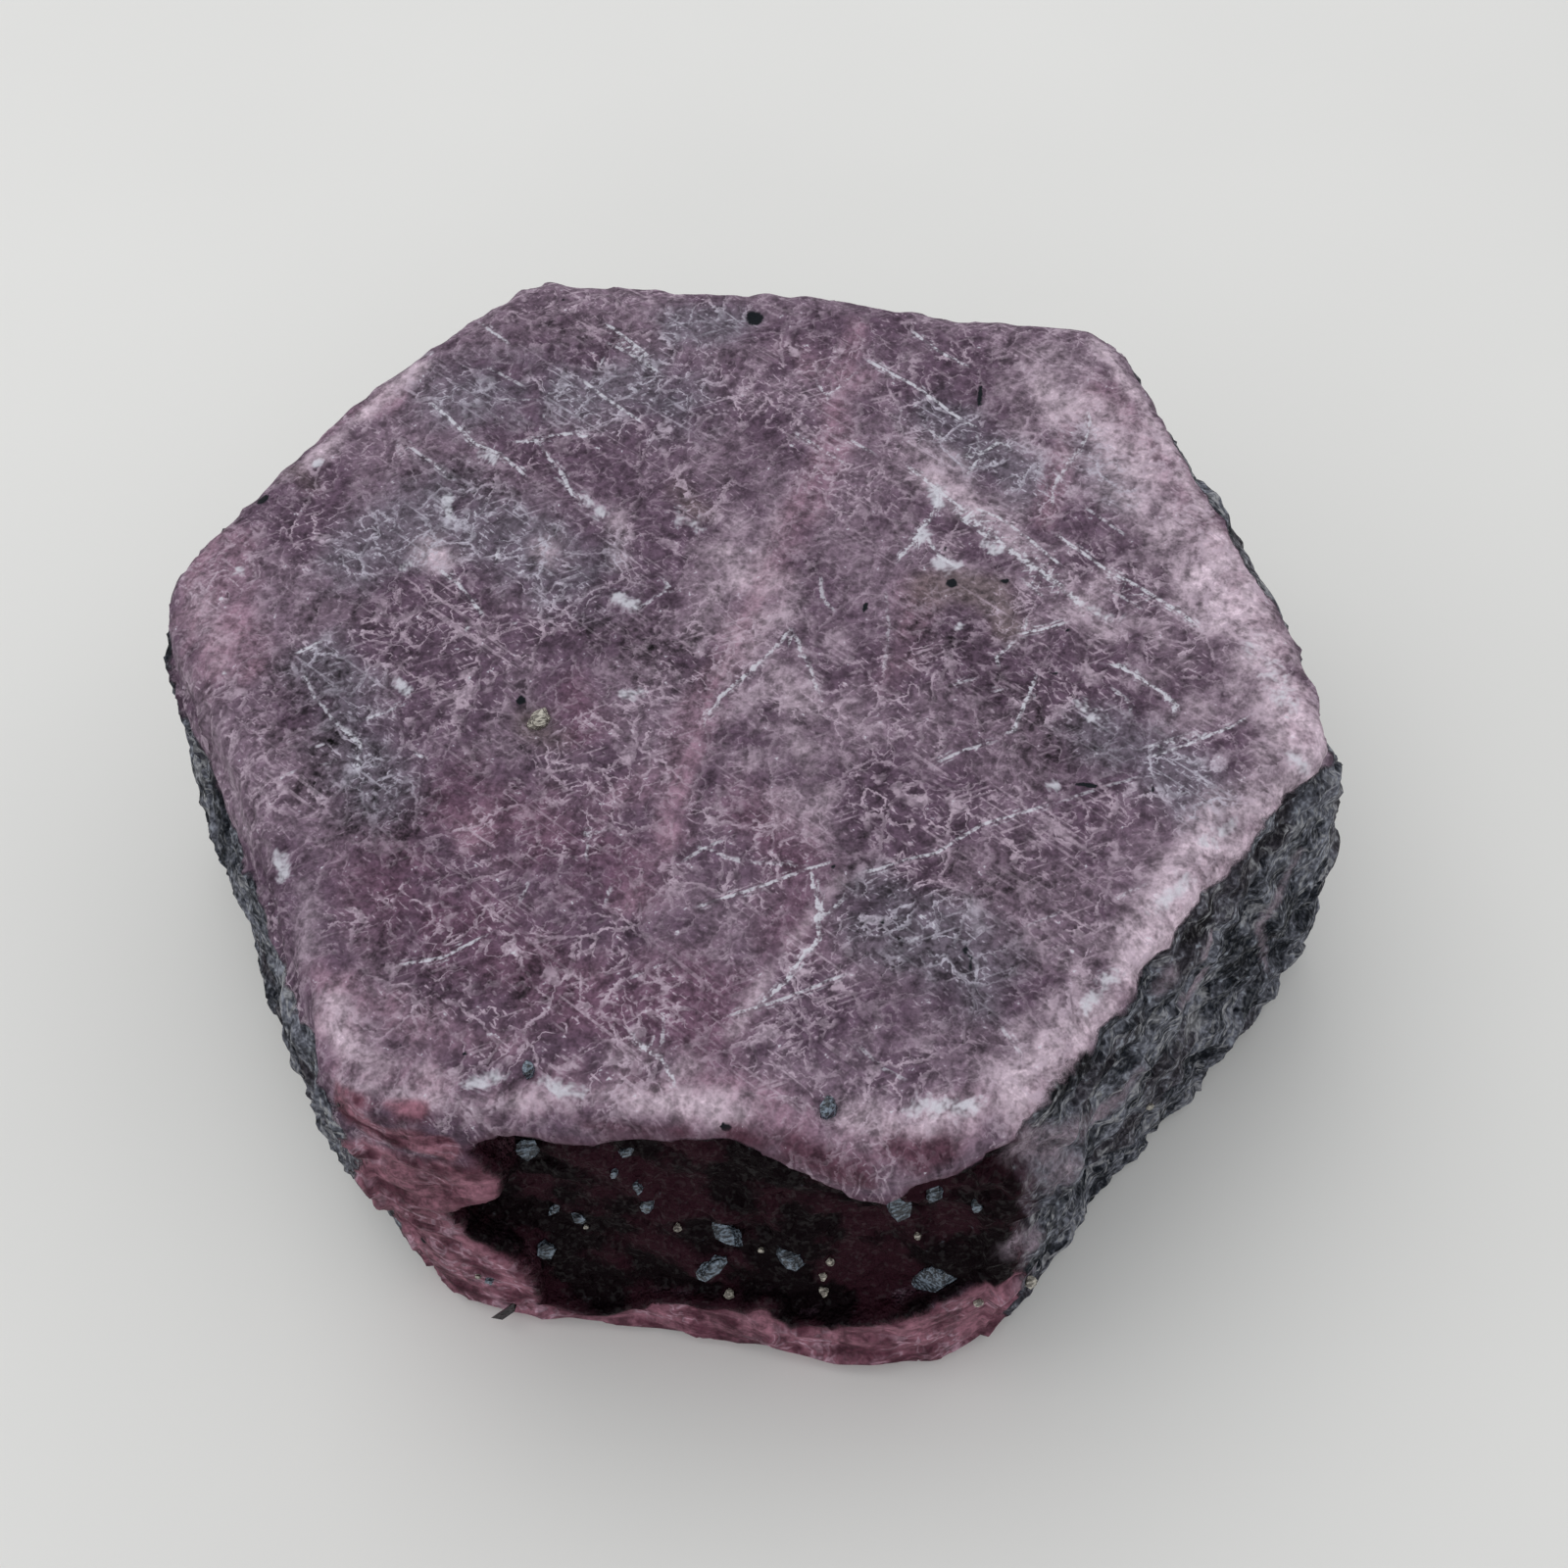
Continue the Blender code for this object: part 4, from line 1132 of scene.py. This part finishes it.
    m.feed(m.shader, "Base Color", whole)
    m.feed(m.shader, "Roughness", f["roughness"])
    m.feed(m.shader, "Coat Weight", gloss * f["coat"])
    m.feed(m.shader, "Coat Roughness", f["coatRoughness"])
    m.feed(m.shader, "Normal", bump)
    m.feed(m.shader, "Specular IOR Level", f["specular"])
    return m.material


# Slate-blue crystals and pale grains that stand on the stone
flakes = {
    "sink": 0.25,
    "corners": 7,
    # pixel, length and width in mm, direction in the picture in degrees, rise
    "plates": [
        ((917, 1226), 1.9, 1.2, 12, 0.35), ((954, 1216), 1.0, 0.7, 65, 0.3),
        ((951, 1302), 2.9, 1.3, 22, 0.4), ((807, 1283), 1.3, 1.0, -35, 0.4),
        ((727, 1290), 1.6, 0.7, 42, 0.35), ((740, 1255), 1.8, 0.8, -42, 0.35),
        ((662, 1229), 1.1, 0.6, 62, 0.3), ((651, 1209), 0.8, 0.4, -55, 0.25),
        ((558, 1274), 1.0, 0.8, 20, 0.3), ((567, 1233), 0.9, 0.4, 50, 0.2),
        ((591, 1242), 0.8, 0.5, -30, 0.2), ((537, 1171), 1.3, 0.9, -38, 0.25),
        ((640, 1173), 0.7, 0.5, 15, 0.2), ((627, 1196), 0.6, 0.3, 80, 0.2),
        ((997, 1228), 0.8, 0.5, 70, 0.25), ((500, 1305), 0.6, 0.4, 10, 0.2),
        ((846, 1133), 0.9, 0.7, 60, 0.5), ((540, 1092), 0.7, 0.6, 50, 0.3),
    ],
    # pixel and size in mm
    "paleGrains": [
        ((552, 737), 1.0), ((545, 741), 0.6), ((692, 1252), 0.4), ((937, 1260), 0.35),
        ((847, 1286), 0.4), ((840, 1301), 0.4), ((841, 1316), 0.5), ((777, 1275), 0.3),
        ((745, 1322), 0.5), ((598, 1251), 0.25), ((488, 1301), 0.3), ((1049, 1307), 0.6),
        ((998, 1328), 0.45), ((1172, 1128), 0.4),
    ],
    "splinter": [(527, 1331), (508, 1341)],
}


def addPlate(bm, pixel, length, width, direction, rise):
    # an uneven plate with a faceted crown, half sunk in the stone
    f = flakes
    place, normal = touch(*pixel)
    heading = math.radians(direction)
    ahead = touch(pixel[0] + 8 * math.cos(heading), pixel[1] - 8 * math.sin(heading))[0]
    across = normal.cross(ahead - place).normalized()
    along = across.cross(normal)
    rim, crown = [], []
    for k in range(f["corners"]):
        turn = 2 * math.pi * (k + 0.4 * noiseAt(pixel[0] / 7, k + 0.4, 0.3)) / f["corners"]
        reach = 0.6 + 0.25 * noiseAt(pixel[0] / 5, pixel[1] / 5, k + 0.5)
        flat = along * math.cos(turn) * length * reach + across * math.sin(turn) * width * reach
        lift = rise * (1 + 0.6 * noiseAt(pixel[1] / 9, k + 0.6, 1.7))
        rim.append(bm.verts.new(place + flat - normal * f["sink"]))
        crown.append(bm.verts.new(place + flat * 0.75 + normal * lift))
    top = bm.verts.new(place + along * length * 0.1 + normal * rise * 1.35)
    for k in range(f["corners"]):
        after = (k + 1) % f["corners"]
        bm.faces.new((rim[k], rim[after], crown[after], crown[k]))
        bm.faces.new((crown[k], crown[after], top))


def addGrain(bm, pixel, size):
    place, normal = touch(*pixel)
    made = bmesh.ops.create_icosphere(bm, subdivisions=2, radius=size / 2)
    for vertex in made["verts"]:
        bump = 1 + 0.5 * noise.noise(vertex.co / size * 2.2 + Vector((*pixel, 0.5)) / 11)
        vertex.co = place + normal * size * 0.15 + vertex.co * bump


def addSplinter(bm, start, end):
    # a thin dark sliver that sticks out of the stone
    root, normal = touch(*start)
    side = turnToWorld @ Vector((end[0] - start[0], start[1] - end[1], 0.0)) / view["pixelsPerMm"]
    spread = [normal * 0.35, side.normalized().cross(normal) * 0.3, normal * -0.3]
    ring = [bm.verts.new(root + s) for s in spread]
    middle = [bm.verts.new(root + side * 0.6 + s * 0.9 + normal * 0.15) for s in spread]
    tip = bm.verts.new(root + side * 1.3)
    for k in range(3):
        after = (k + 1) % 3
        bm.faces.new((ring[k], ring[after], middle[after], middle[k]))
        bm.faces.new((middle[k], middle[after], tip))


def pieceFrom(name, build):
    bm = bmesh.new()
    build(bm)
    bmesh.ops.recalc_face_normals(bm, faces=bm.faces)
    mesh = bpy.data.meshes.new(name)
    bm.to_mesh(mesh)
    bm.free()
    return newObject(name, mesh)


def grainMaterial(name, shade, light, gloss):
    m = Recipe(name)
    place = m.scaled(m.node("ShaderNodeTexCoord", out="Object"), 1 / mm)
    ribs = m.noise(m.stretched(place, 20, 0.6, 0.13), 1.0, 1.0, 0.6)
    fleck = m.noise(place, 0.25, 2.0, 0.7)
    lit = m.smooth(0.44, 0.60, ribs * 0.6 + fleck * 0.4)
    bump = {"Height": ribs * 0.2 + fleck * 0.2, "Distance": mm}
    m.feed(m.shader, "Base Color", m.blend(lit, shade, light))
    m.feed(m.shader, "Roughness", 0.4)
    m.feed(m.shader, "Coat Weight", gloss)
    m.feed(m.shader, "Normal", m.node("ShaderNodeBump", {}, bump))
    return m.material


def buildFlakes():
    blue = grainMaterial("slateFlake", (0.010, 0.014, 0.021), (0.180, 0.225, 0.280), 0.3)
    cream = grainMaterial("paleGrain", (0.160, 0.140, 0.120), (0.560, 0.520, 0.440), 0.2)
    black = grainMaterial("darkSplinter", (0.006, 0.004, 0.004), (0.030, 0.020, 0.022), 0.3)
    sets = (
        ("recessFlakes", blue, lambda bm: [addPlate(bm, *p) for p in flakes["plates"]]),
        ("paleGrains", cream, lambda bm: [addGrain(bm, *g) for g in flakes["paleGrains"]]),
        ("splinter", black, lambda bm: addSplinter(bm, *flakes["splinter"])),
    )
    for name, finish, build in sets:
        piece = pieceFrom(name, build)
        placeInPart(piece)
        piece.data.materials.append(finish)
        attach(piece, "root")


def placeInPart(thing):
    # from millimetres about the axis to the part's own frame, in metres
    thing.data.transform(Matrix.Scale(mm, 4) @ Matrix.Translation(axisFromOrigin))


def finishCrystal():
    closeUnderside(stone.data)
    placeInPart(stone)
    stone.data.materials.clear()
    stone.data.materials.append(stoneMaterial())
    stone.data.shade_smooth()
    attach(stone, "root")
    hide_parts("ruby_crystal")


buildFlakes()
print("flakes and grains added")
finishCrystal()
print("crystal finished")


# Floor and light
studio = {
    "floorSize": 3.0,
    "floorColour": (0.785, 0.775, 0.745),
    "skyColour": (0.95, 0.97, 1.0),
    "skyStrength": 0.78,
    "lampPower": 0.8,
    "lampSize": 0.5,
    "lampPlace": (-0.18, 0.16, 0.5),
}


def makeFloor():
    half = studio["floorSize"] / 2
    bm = bmesh.new()
    bmesh.ops.create_grid(bm, x_segments=1, y_segments=1, size=half)
    mesh = bpy.data.meshes.new("floor")
    bm.to_mesh(mesh)
    bm.free()
    floor = newObject("floor", mesh)
    m = Recipe("paleFloor")
    place = m.node("ShaderNodeTexCoord", out="Object")
    clouds = m.smooth(0.3, 0.7, m.noise(place, 0.05, 3.0))
    shade = [c * 0.97 for c in studio["floorColour"]]
    m.feed(m.shader, "Base Color", m.blend(clouds, shade, studio["floorColour"]))
    m.feed(m.shader, "Roughness", 0.9)
    m.feed(m.shader, "Specular IOR Level", 0.1)
    mesh.materials.append(m.material)


def makeLight():
    world = bpy.data.worlds.new("paleRoom")
    world.use_nodes = True
    sky = world.node_tree.nodes["Background"]
    sky.inputs["Color"].default_value = (*studio["skyColour"], 1.0)
    sky.inputs["Strength"].default_value = studio["skyStrength"]
    scene.world = world
    data = bpy.data.lights.new("softLamp", "AREA")
    data.shape = "DISK"
    data.size = studio["lampSize"]
    data.energy = studio["lampPower"]
    lamp = bpy.data.objects.new("softLamp", data)
    lamp.location = studio["lampPlace"]
    lamp.rotation_euler = (-Vector(studio["lampPlace"])).to_track_quat("-Z", "Y").to_euler()
    scene.collection.objects.link(lamp)
    scene.view_settings.view_transform = "Standard"


makeFloor()
makeLight()
print("floor and light placed")
